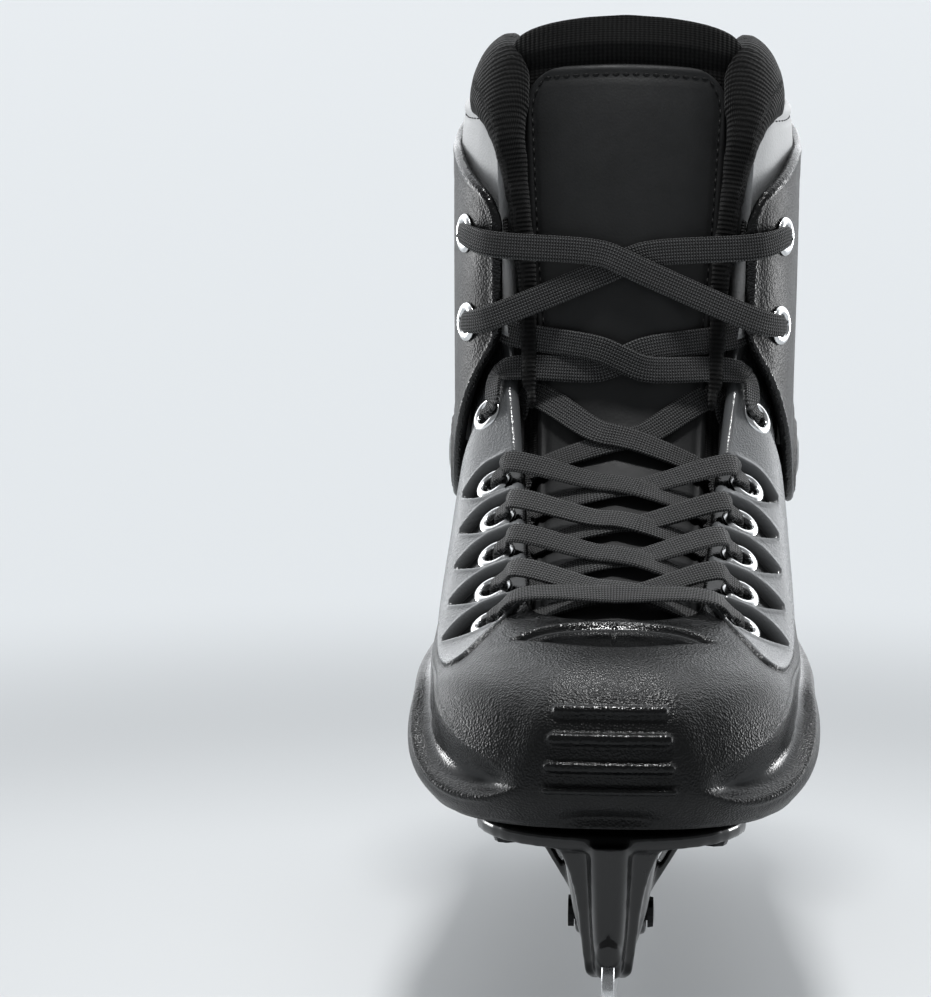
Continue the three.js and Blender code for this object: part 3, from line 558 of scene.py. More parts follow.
def tongue_point(share, x, depth=0.0, flatten=0.0):
    """The tongue's front face at a share of its length, x off its middle, and a depth behind the face."""
    line = [[0, y, z] for y, z in TONGUE_LINE]
    centre = catmull(line, [share])[0]
    ahead = unit(catmull(line, [min(share + 1e-3, 1)])[0] - catmull(line, [max(share - 1e-3, 0)])[0])
    front = np.array([0, -ahead[2], ahead[1]])
    crown = TONGUE_CROWN * (1 - flatten * smooth(0.86, 1, share))
    return centre + [x, 0, 0] + front * (-x * x * crown - depth)


def from_inside(row):
    return row in (2, 3)


def through_eyelet(row, side):
    """Stations of the lace at an eyelet, from the wall's edge outside to its edge inside."""
    seat = SEATS[row - 1]
    out, inward, wall = seat["out"], seat["inward"], seat["wall"]
    rise = LACE_RISE if from_inside(row) else -LACE_RISE
    edge_point, edge_out = seat["edge"]
    full_wall = CUFF_WALL if row < 3 else SHELL_WALL

    def at(depth, to_centre, width, thickness, flat=out):
        point = seat["point"] + out * depth + inward * to_centre
        return on_side(point, side), on_side(flat, side), width, thickness

    def at_edge(depth, shift):
        point = edge_point + edge_out * depth + seat["up"] * shift
        return on_side(point, side), on_side(edge_out, side), LACE_WIDTH, LACE_THICKNESS

    return [
        at_edge(LACE_OVER_EDGE, rise),
        at(2.9, 4.8, LACE_WIDTH - 1.5, 1.3),
        at(1.5, 0.8, 3.6, 1.8, unit(0.4 * out + 0.6 * inward)),
        at(-wall - 2.4, 0.2, 3.6, 2.2, inward),
        at(-wall - 4.2, 5, LACE_WIDTH - 1.5, 1.3),
        at_edge(-full_wall - 3, -rise),
    ]


def share_level_with(target):
    """The share of the tongue's length that is level with a point."""
    shares = np.arange(0, 1.0001, 0.002)
    line = catmull([[0, y, z] for y, z in TONGUE_LINE], shares)
    return shares[np.argmin(np.abs((line[:, 1] - target[1]) * 0.5 + line[:, 2] - target[2]))]


def crossing(row, start, lift):
    """Three stations on the tongue, for a strand that climbs from a row on one side to the row above."""
    stations = []
    for x in (-7, 0, 7):
        climbed = 0.5 - start * x / (2 * CROSSING_REACH)
        level = SEATS[row - 1]["point"] * (1 - climbed) + SEATS[row - 2]["point"] * climbed
        share = share_level_with(level)
        flat = unit(tongue_point(share, x, -1) - tongue_point(share, x))
        stations.append((tongue_point(share, x, -LACE_STAND_OFF - lift), flat, LACE_WIDTH, LACE_THICKNESS))
    return stations


def lace_half(side):
    """The lace from the toe's bar up to one end, starting on one side."""
    route, here = [], side
    for row in range(8, 0, -1):
        stations = through_eyelet(row, here)
        route += stations[::-1] if from_inside(row) else stations
        if row > 1:
            across = crossing(row, here, 0.8 if here > 0 else -0.8)
            route += across[::-1] if here > 0 else across
            here = -here
    return route


def centripetal(points, per_span):
    """Points on the centripetal Catmull-Rom curve, per_span for each stretch between two stations."""
    p = np.concatenate([[2 * points[0] - points[1]], points, [2 * points[-1] - points[-2]]])
    out = []
    for i in range(len(points) - 1):
        four = p[i:i + 4]
        gaps = np.maximum(np.linalg.norm(np.diff(four, axis=0), axis=1), 1e-4)
        knots = np.concatenate([[0], np.cumsum(gaps**0.5)])
        share = np.arange(per_span)[:, None] / per_span
        t = knots[1] + share * (knots[2] - knots[1])

        def blend(a, b, ka, kb):
            return (kb - t) / (kb - ka) * a + (t - ka) / (kb - ka) * b

        a1, a2, a3 = (blend(four[k], four[k + 1], knots[k], knots[k + 1]) for k in range(3))
        b1, b2 = blend(a1, a2, knots[0], knots[2]), blend(a2, a3, knots[1], knots[3])
        out.append(blend(b1, b2, knots[1], knots[2]))
    out.append(points[-1:])
    return np.concatenate(out)


def ribbon(stations, per_span, corners):
    """Rings of a ribbon that follows its stations, and its centre line."""
    centre = centripetal(np.array([s[0] for s in stations]), per_span)
    count = len(centre)
    place = np.arange(count) / per_span
    ahead = unit(np.gradient(centre, axis=0))
    keys = np.arange(len(stations))
    flat = np.stack([np.interp(place, keys, [s[1][k] for s in stations]) for k in range(3)], -1)
    flat = unit(flat - ahead * np.sum(flat * ahead, -1, keepdims=True))
    side = np.cross(ahead, flat)
    width = np.interp(place, keys, [s[2] for s in stations])
    thick = np.interp(place, keys, [s[3] for s in stations])
    rings = (centre[:, None] + side[:, None] * corners[None, :, :1] * width[:, None, None] / 2
             + flat[:, None] * corners[None, :, 1:] * thick[:, None, None] / 2)
    return rings, centre


def add_lace():
    """The flat lace: up both sides from the bar over the toe to the two top eyelets."""
    bar_y, bar_z = SEATS[7]["point"][1:]
    bar = (np.array([0, bar_y - 1, bar_z + 9.2]), unit(np.array([0, -0.45, 0.9])), LACE_WIDTH,
           LACE_THICKNESS)
    stations = lace_half(-1)[::-1] + [bar] + lace_half(1)
    top = np.array([[1, 0], [0.97, 0.6], [0.86, 0.95], [0.5, 1], [0, 1], [-0.5, 1], [-0.86, 0.95],
                    [-0.97, 0.6]])
    corners = np.concatenate([top, -top])
    rings, centre = ribbon(stations, 8, corners)
    run = distance_along(centre)
    lace = make_mesh("lace_woven", rings.reshape(-1, 3), tube_faces(*rings.shape[:2]), None, "lace", LACE)
    width_at = np.linalg.norm(rings[:, 0] - rings[:, 8], axis=1)
    paint(lace, "across", corners[None, :, 0] * width_at[:, None] / 2)
    paint(lace, "along", np.repeat(run, len(corners)))
    bind_to_cuff(lace)
    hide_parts("lace")


def bind_to_cuff(piece):
    """Bakes a soft piece's transform into its mesh."""
    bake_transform(piece)


add_lace()


# ---- Shell -----------------------------------------------------------------------------------------

# By station round the shell, 0 at the toe and 8 at the heel: the bumper's lip and the crease over its scoop.
LIP = ([0, 0.8, 1.0, 1.3, 1.7, 2.1, 2.5, 3, 3.6, 8], [77.5, 77.2, 74.6, 72.4, 72.8, 77, 84.5, 92, 94, 94])
CREASE = ([0, 0.8, 1.0, 1.3, 1.7, 2.4, 3, 3.6, 8], [78, 78, 80.5, 84, 88, 95, 97, 96.5, 95.5])
# The toe panel's half-width by rise, which is the height seen from a little above.
TILT = 0.15
PANEL = ([50, 56, 63, 77, 84, 88, 91, 92.5], [25.6, 25, 22.6, 18.3, 16.5, 14, 9, 0])
RIBS = [(76.0, 3.0, 15.7), (68.6, 3.5, 17), (61.1, 3.2, 18), (54.9, 2.2, 18.5)]


def ridge(distance, width):
    return np.exp(-(distance / width)**2)


def shell_grid(s, t):
    """The shell's driving face at a grid of places, with its outward normals."""
    plain = grid_on(SHELL_RAILS, s, t, True)
    return plain, grid_normals(plain, True, plain.mean(0)[None] * [0, 0.8, 0] + [0, 0, INSIDE_Z])


def toe_details(x, y, z):
    """Height of the toe panel, its ribs and the recess under the laces, and how polished each place is."""
    rise = z + TILT * y
    front = smooth(-104, -116, y)
    half = np.interp(rise, *PANEL)
    levels = np.arange(50, 93, 0.5)
    lean = np.interp(rise, levels, np.gradient(np.interp(levels, *PANEL), 0.5))
    inside = (half - x) / np.sqrt(1 + lean**2)
    panel = smooth(-7, 2, inside) * smooth(95, 88, rise) * front
    beside = smooth(-24, -4, inside) * (1 - panel) * smooth(97, 84, rise)
    bars = 0 * x
    for centre, thick, length in RIBS:
        reach = np.hypot(np.maximum(x - length + thick / 2, 0), rise - centre) - thick / 2
        bars = np.maximum(bars, smooth(0.5, -1.0, reach) * front)
    height = 0.4 * panel - 0.5 * beside * front + 1.9 * bars
    height -= 0.35 * ridge(x, 0.45) * smooth(93, 96, rise) * smooth(-85, -90, y)
    on_top = z > 90
    recess = smooth(0.8, -1.4, np.abs(y + 99.5) - 11.5 * (1 - (x / 28.5)**2)) * on_top
    roll = ridge(y + 84.5, 1.8) * smooth(30, 22, x) * on_top
    behind = 0.35 * smooth(-99, -96, y) * smooth(36, 26, x) * on_top
    polish = np.maximum.reduce([recess, behind, 0.5 * bars])
    return height - 1.9 * recess + 0.25 * roll, polish


def scoop_details(k, z):
    """Height of the bumper's lip and of the hollow over it, with the shares of hollow and of ledge."""
    around = k + np.linspace(-0.16, 0.16, 5).reshape(5, 1, 1)
    lip, crease = (np.interp(around, *table).mean(0) for table in (LIP, CREASE))
    share = np.clip((z - lip) / (crease - lip), 0, 1)
    shown = smooth(0.75, 1.25, k)
    hollow = np.sin(np.pi * share**0.6) * smooth(1, 3, crease - lip) * shown
    height = -np.minimum(0.3 * (crease - lip), 3.4) * hollow
    height += shown * (1.1 * smooth(lip + 0.5, lip - 0.5, z) + 0.9 * ridge(z - lip + 1.2, 1.2))
    ledge = shown * ridge(z - lip - 0.2, 1.3) * smooth(1, 3, crease - lip)
    return height - 0.5 * ridge(z - crease - 0.4, 0.6) * shown, hollow, ledge


def eyestay_details(k, t):
    """Distance inside the raised eyestay's lower border, in about millimetres."""
    up = (t - 0.665) * 100
    back = (k - 2.35) * 34
    corner = 11
    rounded = corner - np.hypot(np.maximum(corner - up, 0), np.maximum(corner - back, 0))
    return np.where((up < corner) & (back < corner), rounded, np.minimum(up, back))


def eyelet_pit(points, seats):
    """Depth of the holes under the eyelets' rings, on the right side."""
    depth = np.zeros(points.shape[:-1])
    for seat in seats:
        off = points - seat["point"]
        lifted = off @ seat["out"]
        from_axis = np.sqrt(np.maximum(np.sum(off * off, -1) - lifted**2, 0))
        depth = np.maximum(depth, seat["wall"] * 0.85 * smooth(5.2, 4.0, from_axis) * (np.abs(lifted) < 10))
    return depth


def pocket_details(points):
    """Depth share of the teardrop pockets round the eyelets of one side."""
    depth, rim = np.zeros(points.shape[:-1]), np.zeros(points.shape[:-1])
    for seat in SEATS:
        if not seat["pocket"]:
            continue
        off = points - seat["point"]
        along, across = off @ -seat["inward"], off @ seat["up"]
        reach = 0.8 * seat["pocket"]
        half = 7.0 * (1 - np.clip(along / reach, 0, 1)**1.9)
        inside = np.where(along > reach, -5, half - np.abs(across))
        near = np.abs(off @ seat["out"]) < 14
        depth = np.maximum(depth, smooth(-0.9, 0.9, inside) * near)
        rim = np.maximum(rim, ridge(inside + 1.5, 0.9) * near * (along > -6))
    return depth, rim


def shell_surface(s, t):
    """The shell's outer face with its details, its plain face and normals, and its painted masks."""
    plain, normal = shell_grid(s, t)
    k = np.repeat((8 - np.abs(s * 16 - 8))[:, None], len(t), 1)
    tt = np.repeat(np.asarray(t)[None], len(s), 0)
    x, y, z = np.abs(plain[..., 0]), plain[..., 1], plain[..., 2]
    toe, polish = toe_details(x, y, z)
    scoop, hollow, ledge = scoop_details(k, z)
    stay = eyestay_details(k, tt)
    raised = smooth(-0.6, 0.6, stay) * smooth(7.3, 6.6, k)
    mirrored = np.stack([x, y, z], -1)
    pocket, rim = (share * smooth(1, 3.5, stay) for share in pocket_details(mirrored))
    dent = 2.4 * np.exp(-(x / 13)**4) * smooth(72, 66, z) * (k < 1.5)
    under_cuff = smooth(14, 21, y) * smooth(126, 138, z)
    height = toe + scoop + 0.9 * raised * (1 - pocket) * (1 - under_cuff) - 0.3 * under_cuff - dent
    height -= 0.45 * ridge(stay + 1.2, 0.8) * (k > 2) * (1 - pocket) * smooth(7.3, 6.6, k)
    height += 0.5 * rim * (1 - pocket) - POCKET_DEPTH * pocket
    height -= eyelet_pit(mirrored, SEATS[2:])
    height *= smooth(0, 0.05, tt)
    gloss = np.clip(0.85 * hollow + polish + pocket + 0.45 * raised + 0.35 * rim, 0, 1)
    # lift: the raised eyestay's own lighter grey outside its pockets, plus a painted highlight over the
    # scoop's hollow, kept off the ledge under the lip.
    lift = np.clip(raised * (1 - pocket) + 0.2 * hollow * (1 - ledge), 0, 1)
    return plain + normal * height[..., None], plain, normal, height, {"gloss": gloss, "lift": lift}


def shell_columns(half_count):
    """Places of the columns round the shell, closest together at the pockets and then at the toe."""
    stations = np.linspace(0, 8, 801)
    density = np.interp(stations, [0, 0.9, 1.3, 2.1, 2.5, 5.0, 5.5, 8],
                        [1.6, 1.6, 1.0, 1.2, 2.6, 2.6, 0.7, 0.5])
    total = np.concatenate([[0], np.cumsum((density[1:] + density[:-1]) / 2)])
    half = np.interp(np.linspace(0, total[-1], half_count + 1), total, stations) / 16
    return np.concatenate([half, 1 - half[1:-1][::-1]])


def add_shell():
    """The shell, closed from its sole up over its outer face, round its rim and down its inner face."""
    rows = 180
    s = shell_columns(420)
    t = 0.985 * np.linspace(0, 1, rows)
    outer, plain, normal, height, masks = shell_surface(s, t)
    up = unit(plain[:, -1] - plain[:, -6])
    up = unit(up - normal[:, -1] * np.sum(up * normal[:, -1], -1, keepdims=True))
    middle, half = (height[:, -1] - SHELL_WALL) / 2, (height[:, -1] + SHELL_WALL) / 2
    rim = []
    for angle in np.linspace(0, np.pi, 9)[1:-1]:
        rim.append(plain[:, -1] + normal[:, -1] * (middle + half * math.cos(angle))[:, None]
                   + up * (1.6 * math.sin(angle)))
    inner_t = np.concatenate([np.linspace(0.985, 0.6, 16), np.linspace(0.55, 0.05, 9)])
    inner_plain, inner_normal = shell_grid(s, inner_t)
    inner = inner_plain - inner_normal * SHELL_WALL
    floor = [inner[:, -1] * [share, share, 1] for share in (0.9, 0.7, 0.4, 0.1)]
    rise = outer[:, 0, 2] - SOLE_Z
    sole = [outer[:, 0] * [share, share, 0] + [0, 0, SOLE_Z] + np.outer(rise, [0, 0, share**2])
            for share in (0.1, 0.4, 0.7, 0.9)]
    grid = np.concatenate([np.stack(sole, 1), outer, np.stack(rim, 1), inner, np.stack(floor, 1)], 1)
    shell = make_mesh("shell_moulding", grid.reshape(-1, 3), capped(grid), "boot", "shell", SHELL)
    first = len(sole)
    last = first + rows
    for name, mask in masks.items():
        full = np.zeros(grid.shape[:2])
        full[:, first:last] = mask
        full[:, last:last + len(rim)] = 0.8 if name == "gloss" else mask[:, -1:]
        paint(shell, name, full)
    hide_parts("boot_shell")


add_shell()


# ---- Cuff ------------------------------------------------------------------------------------------

def near_edges(count, clustered):
    """Shares from 0 to 1, close together near both ends."""
    ends = np.array([0, 0.1, 0.25, 0.45, 0.7, 1.0]) * clustered
    middle = np.linspace(clustered, 1 - clustered, count)[1:-1]
    return np.concatenate([ends, middle, 1 - ends[::-1]])


def cuff_point(s, t):
    """The cuff's surface at pairs of places."""
    low, high = (catmull(both_sides(rail, False), s) for rail in CUFF_RAILS)
    return low * (1 - t[..., None]) + high * t[..., None]


def rounded_cuff(s, t):
    """The cuff's grid of points, drawn in to round the four corners at its front."""
    s, t = np.meshgrid(s, t, indexing="ij")
    side = np.minimum(s, 1 - s)
    length, height = 148.0, np.linalg.norm(cuff_point(side, t * 0 + 1) - cuff_point(side, t * 0), axis=-1)
    from_front, from_end = side * length, np.minimum(t, 1 - t) * height
    radius = np.where(t > 0.5, 9.0, 5.0)
    a, b = np.maximum(radius - from_front, 0), np.maximum(radius - from_end, 0)
    shrink = np.maximum(a, b) / np.maximum(np.hypot(a, b), 1e-9)
    inside = (a > 0) & (b > 0)
    front = np.where(inside, radius - a * shrink, from_front)
    end = np.where(inside, radius - b * shrink, from_end)
    new_s = np.where(s < 0.5, front / length, 1 - front / length)
    new_t = np.where(t > 0.5, 1 - end / height, end / height)
    return cuff_point(new_s, new_t)


def add_cuff():
    """The cuff: a band open at its front, with rolled edges and a round boss at each pivot."""
    s, t = near_edges(200, 0.01), near_edges(70, 0.03)
    plain = rounded_cuff(s, t)
    normal = grid_normals(plain, False, np.array([0, 66, 200]))
    steps_s = np.linalg.norm(np.diff(plain, axis=0), axis=-1)
    steps_t = np.linalg.norm(np.diff(plain, axis=1), axis=-1)
    from_front = np.concatenate([np.zeros((1, len(t))), np.cumsum(steps_s, 0)])
    from_bottom = np.concatenate([np.zeros((len(s), 1)), np.cumsum(steps_t, 1)], 1)
    border = np.minimum.reduce([from_front, from_front[-1:] - from_front, from_bottom,
                                from_bottom[:, -1:] - from_bottom])
    round_off = 1 - np.clip(border / 1.9, 0, 1)
    half = (CUFF_WALL / 2 + 0.25 * ridge(border - 2.2, 1.2)) * np.sqrt(np.maximum(1 - round_off**2, 0))
    pivot = np.hypot(plain[..., 1] - PIVOT_Y, plain[..., 2] - PIVOT_Z)
    boss = 0.9 * smooth(12.5, 11, pivot) - 0.6 * smooth(9.2, 8.6, pivot)
    panel = smooth(9, 11, border) * smooth(15, 19, pivot)
    middle = plain - normal * CUFF_WALL / 2
    flank = smooth(40, 60, from_front) * smooth(40, 60, from_front[-1:] - from_front)
    pit = eyelet_pit(np.abs(plain) * [1, 0, 0] + plain * [0, 1, 1], SEATS[:2])
    outer = middle + normal * (half + (boss - 0.5 * panel * flank - pit) * (border > 2))[..., None]
    inner = middle - normal * half[..., None]
    cuff = make_mesh("cuff_moulding", *sheet(outer, inner), "cuff", "shell", CUFF)
    paint(cuff, "edge", np.concatenate([smooth(3.2, 2, border).ravel()] * 2))
    clean(cuff.data, MERGED)
    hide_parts("ankle_cuff")


add_cuff()


# ---- Eyelets ---------------------------------------------------------------------------------------

def add_eyelets():
    """A rolled steel ring through the wall at each seat and its mirror image."""
    for row, seat in enumerate(SEATS, 1):
        low = -seat["wall"] - 0.6
        profile = [(3.3, low + 0.6), (3.3, 0.4), (3.42, 0.95), (3.8, 1.36), (4.4, 1.55), (5.05, 1.45),
                   (5.6, 1.1), (6.0, 0.6), (6.05, 0.2), (5.6, 0.0), (4.0, 0.0), (4.0, low), (3.6, low)]
        points, faces = lathe(profile, 48)
        for side, name in ((1, "right"), (-1, "left")):
            origin, *axes = (on_side(seat[key], side) for key in ("point", "inward", "up", "out"))
            body = "cuff" if row < 3 else "boot"
            place = origin + points @ np.array(axes)
            ring = make_mesh(f"grommet_{name}_{row}", place, faces, body, "eyelet", PLATED)
            clean(ring.data, MERGED)
            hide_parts(f"eyelet_{name}_{row}")


add_eyelets()


# ---- Tongue ----------------------------------------------------------------------------------------

# By share of the tongue's length: its half-width and its thickness.
TONGUE_HALF = ([0, 0.2, 0.42, 0.56, 0.7, 0.86, 0.94, 1], [26, 28.5, 30.5, 31, 34, 35.5, 36, 35.5])
TONGUE_THICK = ([0, 0.1, 0.45, 0.56, 0.85, 0.93, 1], [3, 4.2, 4.6, 6, 7.5, 10.5, 11])
TONGUE_END = 0.985
TONGUE_FLAT = 0.85
TONGUE_LENGTH = 215
PANEL_SHARES = (0.02, 0.905)


def tongue_bulge(share, x):
    """How far the padded tongue stands out of its driving face."""
    band = smooth(0.91, 0.935, share) * 3.0 * np.sqrt(np.clip(1 - (x / 40)**2, 0, 1))
    return band - 0.9 * ridge((share - 0.912) / 0.006, 1)


def add_tongue():
    """The padded knit tongue, from under the lowest lace to its rounded top."""
    shares = np.concatenate([np.linspace(0, 0.9, 130), np.linspace(0.9, TONGUE_END, 41)[1:]])
    turn = np.sin(np.linspace(-1, 1, 96) * np.pi / 2)
    front, back, across = [], [], []
    for share in shares:
        top = np.clip((share - 0.92) / (TONGUE_END - 0.92), 0, 1)
        half = max(np.interp(share, *TONGUE_HALF) * (1 - top**6)**0.36, 6)
        thick = np.interp(share, *TONGUE_THICK) * (1 - 0.85 * top**4)
        thick *= 0.3 + 0.7 * np.clip(share / 0.02, 0, 1)
        for x in turn * half:
            rounding = math.sqrt(max(1 - abs(x / half)**3.2, 0))
            swell_out = (thick / 2 + tongue_bulge(share, x)) * rounding
            front.append(tongue_point(share, x, thick / 2 - swell_out, TONGUE_FLAT))
            back.append(tongue_point(share, x, thick / 2 + thick / 2 * rounding, TONGUE_FLAT))
            across.append(x)
    grids = (np.reshape(face, (len(shares), len(turn), 3)) for face in (front, back))
    tongue = make_mesh("tongue_knit", *sheet(*grids, "ends"), None, "knit", KNIT)
    paint(tongue, "across", np.array(across * 2))
    paint(tongue, "along", np.tile(np.repeat(shares * 210, len(turn)), 2))
    clean(tongue.data, MERGED)
    bind_to_cuff(tongue)
    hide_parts("tongue_lower", "tongue_upper")


def panel_half(share):
    """The leatherette panel's half-width, with its rounded upper corners."""
    top = np.clip((share - PANEL_SHARES[1] + 0.045) / 0.045, 0, 1)
    return np.interp(share, [0.0, 0.58, 0.72, 0.86], [24, 26, 29, 31.5]) - 12 * (1 - np.sqrt(1 - top**2))


def panel_point(share, x, lift):
    return tongue_point(share, x, -lift - 0.35, TONGUE_FLAT)


def add_tongue_panel():
    """The smooth panel sewn on the tongue, pressed down at its border, over most of its length."""
    start, end = PANEL_SHARES
    shares = start + near_edges(110, 0.02) * (end - start)
    turns = near_edges(60, 0.03) * 2 - 1
    top, low = [], []
    for share in shares:
        half = float(panel_half(share))
        for x in turns * half:
            border = min(half - abs(x), (end - share) * TONGUE_LENGTH, (share - start) * TONGUE_LENGTH)
            lift = 0.2 + smooth(-0.4, 1.2, border) - 0.55 * ridge(border - 2.6, 0.7)
            top.append(panel_point(share, x, lift + 0.5 * smooth(3, 12, border)))
            low.append(panel_point(share, x, -1.5))
    grids = (np.reshape(face, (len(shares), len(turns), 3)) for face in (top, low))
    panel = make_mesh("tongue_patch", *sheet(*grids, "wall"), None, "leatherette", LEATHER)
    clean(panel.data, MERGED)
    bind_to_cuff(panel)
    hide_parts("tongue_panel")


def stitch_row(name, path, normals, body, length=2.1, gap=1.0, thick=0.55):
    """A row of short sewn stitches along a path: each a rounded grain pressed at both its ends."""
    run = distance_along(path)

    def along(values, at):
        return np.stack([np.interp(at, run, values[:, c]) for c in range(3)], -1)

    share = np.linspace(0, 1, 7)[:, None]
    angle = np.arange(8)[None, :, None] * 2 * np.pi / 8
    half = np.sin(np.pi * (0.08 + 0.84 * share))**0.6 * thick / 2
    points, faces = [], []
    for start in np.arange(0, run[-1] - length, length + gap):
        here = start + length * share[:, 0]
        centre = along(path, here)
        up = unit(along(normals, here))
        side = unit(np.cross(unit(along(path, here + 0.3) - centre + 1e-9), up))
        centre = centre + up * (half * 0.8 - 0.25 * (1 - np.sin(np.pi * share)))
        spoke = side[:, None] * np.cos(angle) + up[:, None] * np.sin(angle)
        rings = centre[:, None] + spoke * half[:, None]
        faces += [[v + len(points) for v in face] for face in tube_faces(7, 8)]
        points += rings.reshape(-1, 3).tolist()
    return make_mesh(name, points, faces, body, "knit", THREAD)


def add_panel_stitches():
    """The line of stitches inside the panel's top and sides."""
    inset = 2.6
    low, high = 0.57, PANEL_SHARES[1] - inset / TONGUE_LENGTH
    side = [(share, float(panel_half(share)) - inset) for share in np.linspace(low, high, 90)]
    corner = side[-1][1]
    route = side + [(high, x) for x in np.linspace(corner, -corner, 60)[1:-1]]
    route += [(share, -x) for share, x in side[::-1]]
    path = np.array([panel_point(share, x, 0.95) for share, x in route])
    normals = [unit(panel_point(share, x, 2) - panel_point(share, x, 0)) for share, x in route]
    bind_to_cuff(stitch_row("tongue_stitches", path, np.array(normals), None))


add_tongue()
add_tongue_panel()
add_panel_stitches()


# ---- Liner and collar ------------------------------------------------------------------------------

# The liner's outer face over the shell, from its top front corner round the back, at two heights.
LINER_RAILS = [
    [[46.4, 43, 196], [48.6, 53, 193], [49.6, 66, 191], [46.6, 88, 190], [31, 107, 190], [0, 114.5, 190]],
    [[45.5, 40, 256], [48.8, 50, 258], [50.2, 63, 259], [47.2, 84, 262], [31, 102, 265], [0, 110.5, 266]],
]
# The collar's roll from a front corner round to the back's centre: middle line, width and height.
ROLL_PATH = [[39.6, 43, 258], [40, 58, 259], [39.5, 74, 259], [34.5, 92, 258], [20, 103, 258], [0, 106, 258]]
ROLL_SIZE = [(8.2, 13.5), (8.7, 15), (8.7, 14.5), (8.5, 12.5), (8.4, 11.5), (8.2, 11)]
# The collar's border down each front edge, from its foot in the cuff up to the roll.
BORDER_PATH = [[26.5, 6, 160], [27.5, 10, 170], [28.3, 13.5, 182], [29, 16.5, 197], [30.6, 19.3, 213],
               [33.4, 22.8, 230], [36.5, 27.5, 246]]
BORDER_SIZE = [(2.6, 2.4), (3.2, 2.8), (3.8, 3.0), (4.2, 3.2), (4.4, 3.4), (4.8, 3.9), (6.2, 6)]


def collar_path():
    """The collar's middle line and sizes, from the right border's foot round the back to the left's."""
    right = np.array(BORDER_PATH + ROLL_PATH, float)
    sizes = np.array(BORDER_SIZE + ROLL_SIZE, float)
    return np.concatenate([right, right[:-1][::-1] * [-1, 1, 1]]), np.concatenate([sizes, sizes[:-1][::-1]])


def swell(obj, size, cap, pressure=4.0, frames=20):
    """Remeshes a padded piece and lets cloth under pressure round it out, then keeps the result."""
    remesh = obj.modifiers.new("remesh", "REMESH")
    remesh.mode = "VOXEL"
    remesh.voxel_size = size
    mesh = with_modifiers(obj)
    obj.modifiers.clear()
    obj.data = mesh
    before = places(mesh)
    cloth_settings = obj.modifiers.new("cloth", "CLOTH").settings
    cloth_settings.use_pressure = True
    cloth_settings.uniform_pressure_force = pressure
    cloth_settings.effector_weights.gravity = 0
    cloth_settings.quality = 5
    for step in range(1, frames + 1):
        bpy.context.scene.frame_set(step)
    move = places(with_modifiers(obj)) - before
    obj.modifiers.clear()
    far = np.linalg.norm(move, axis=1, keepdims=True)
    after = before + move * np.minimum(1, cap / np.maximum(far, 1e-9))
    mesh.vertices.foreach_set("co", after.ravel())
    bpy.context.scene.frame_set(1)
    sub = obj.modifiers.new("sub", "SUBSURF")
    sub.levels = sub.render_levels = 1
    obj.data = with_modifiers(obj)
    obj.modifiers.clear()
    obj.data.shade_smooth()


def nearest_along(points, line):
    """For each point, the index of the nearest point on a line and the vector from it."""
    parts = np.array_split(points, len(points) // 4000 + 1)
    index = np.concatenate([np.linalg.norm(part[:, None] - line, axis=-1).argmin(1) for part in parts])
    return index, points - line[index]


def add_collar():
    """The padded collar: one ribbed roll round the top that runs on as a border down both front edges."""
    path, sizes = collar_path()
    line = centripetal(path, 12)
    place = np.arange(len(line)) / 12
    wide, tall = (np.interp(place, np.arange(len(path)), sizes[:, k])[:, None, None] for k in (0, 1))
    ahead = unit(np.gradient(line, axis=0))
    inward = np.array([0, PIVOT_Y, 0]) - line * [1, 1, 0]
    inward = unit(inward - ahead * np.sum(inward * ahead, -1, keepdims=True))
    upward = np.cross(ahead, inward)
    upward = upward * np.sign(upward[len(line) // 2, 2])
    leaning = unit(upward + 0.22 * inward * smooth(235, 255, line[:, 2:]))
    sides = 28
    angle = np.arange(sides) * 2 * np.pi / sides
    rings = (line[:, None] + inward[:, None] * np.cos(angle)[None, :, None] * wide
             + leaning[:, None] * np.sin(angle)[None, :, None] * tall)
    collar = make_mesh("collar_roll", rings.reshape(-1, 3), tube_faces(len(line), sides), None, "knit", KNIT)
    swell(collar, 0.003, 0.003)
    index, off = nearest_along(places(collar.data) / MM, line)
    turn = np.arctan2(np.sum(off * upward[index], -1), np.sum(off * inward[index], -1))
    paint(collar, "across", distance_along(line)[index] + np.sum(off * ahead[index], -1))
    paint(collar, "along", turn * 7.5)
    bind_to_cuff(collar)
    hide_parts("liner_collar")


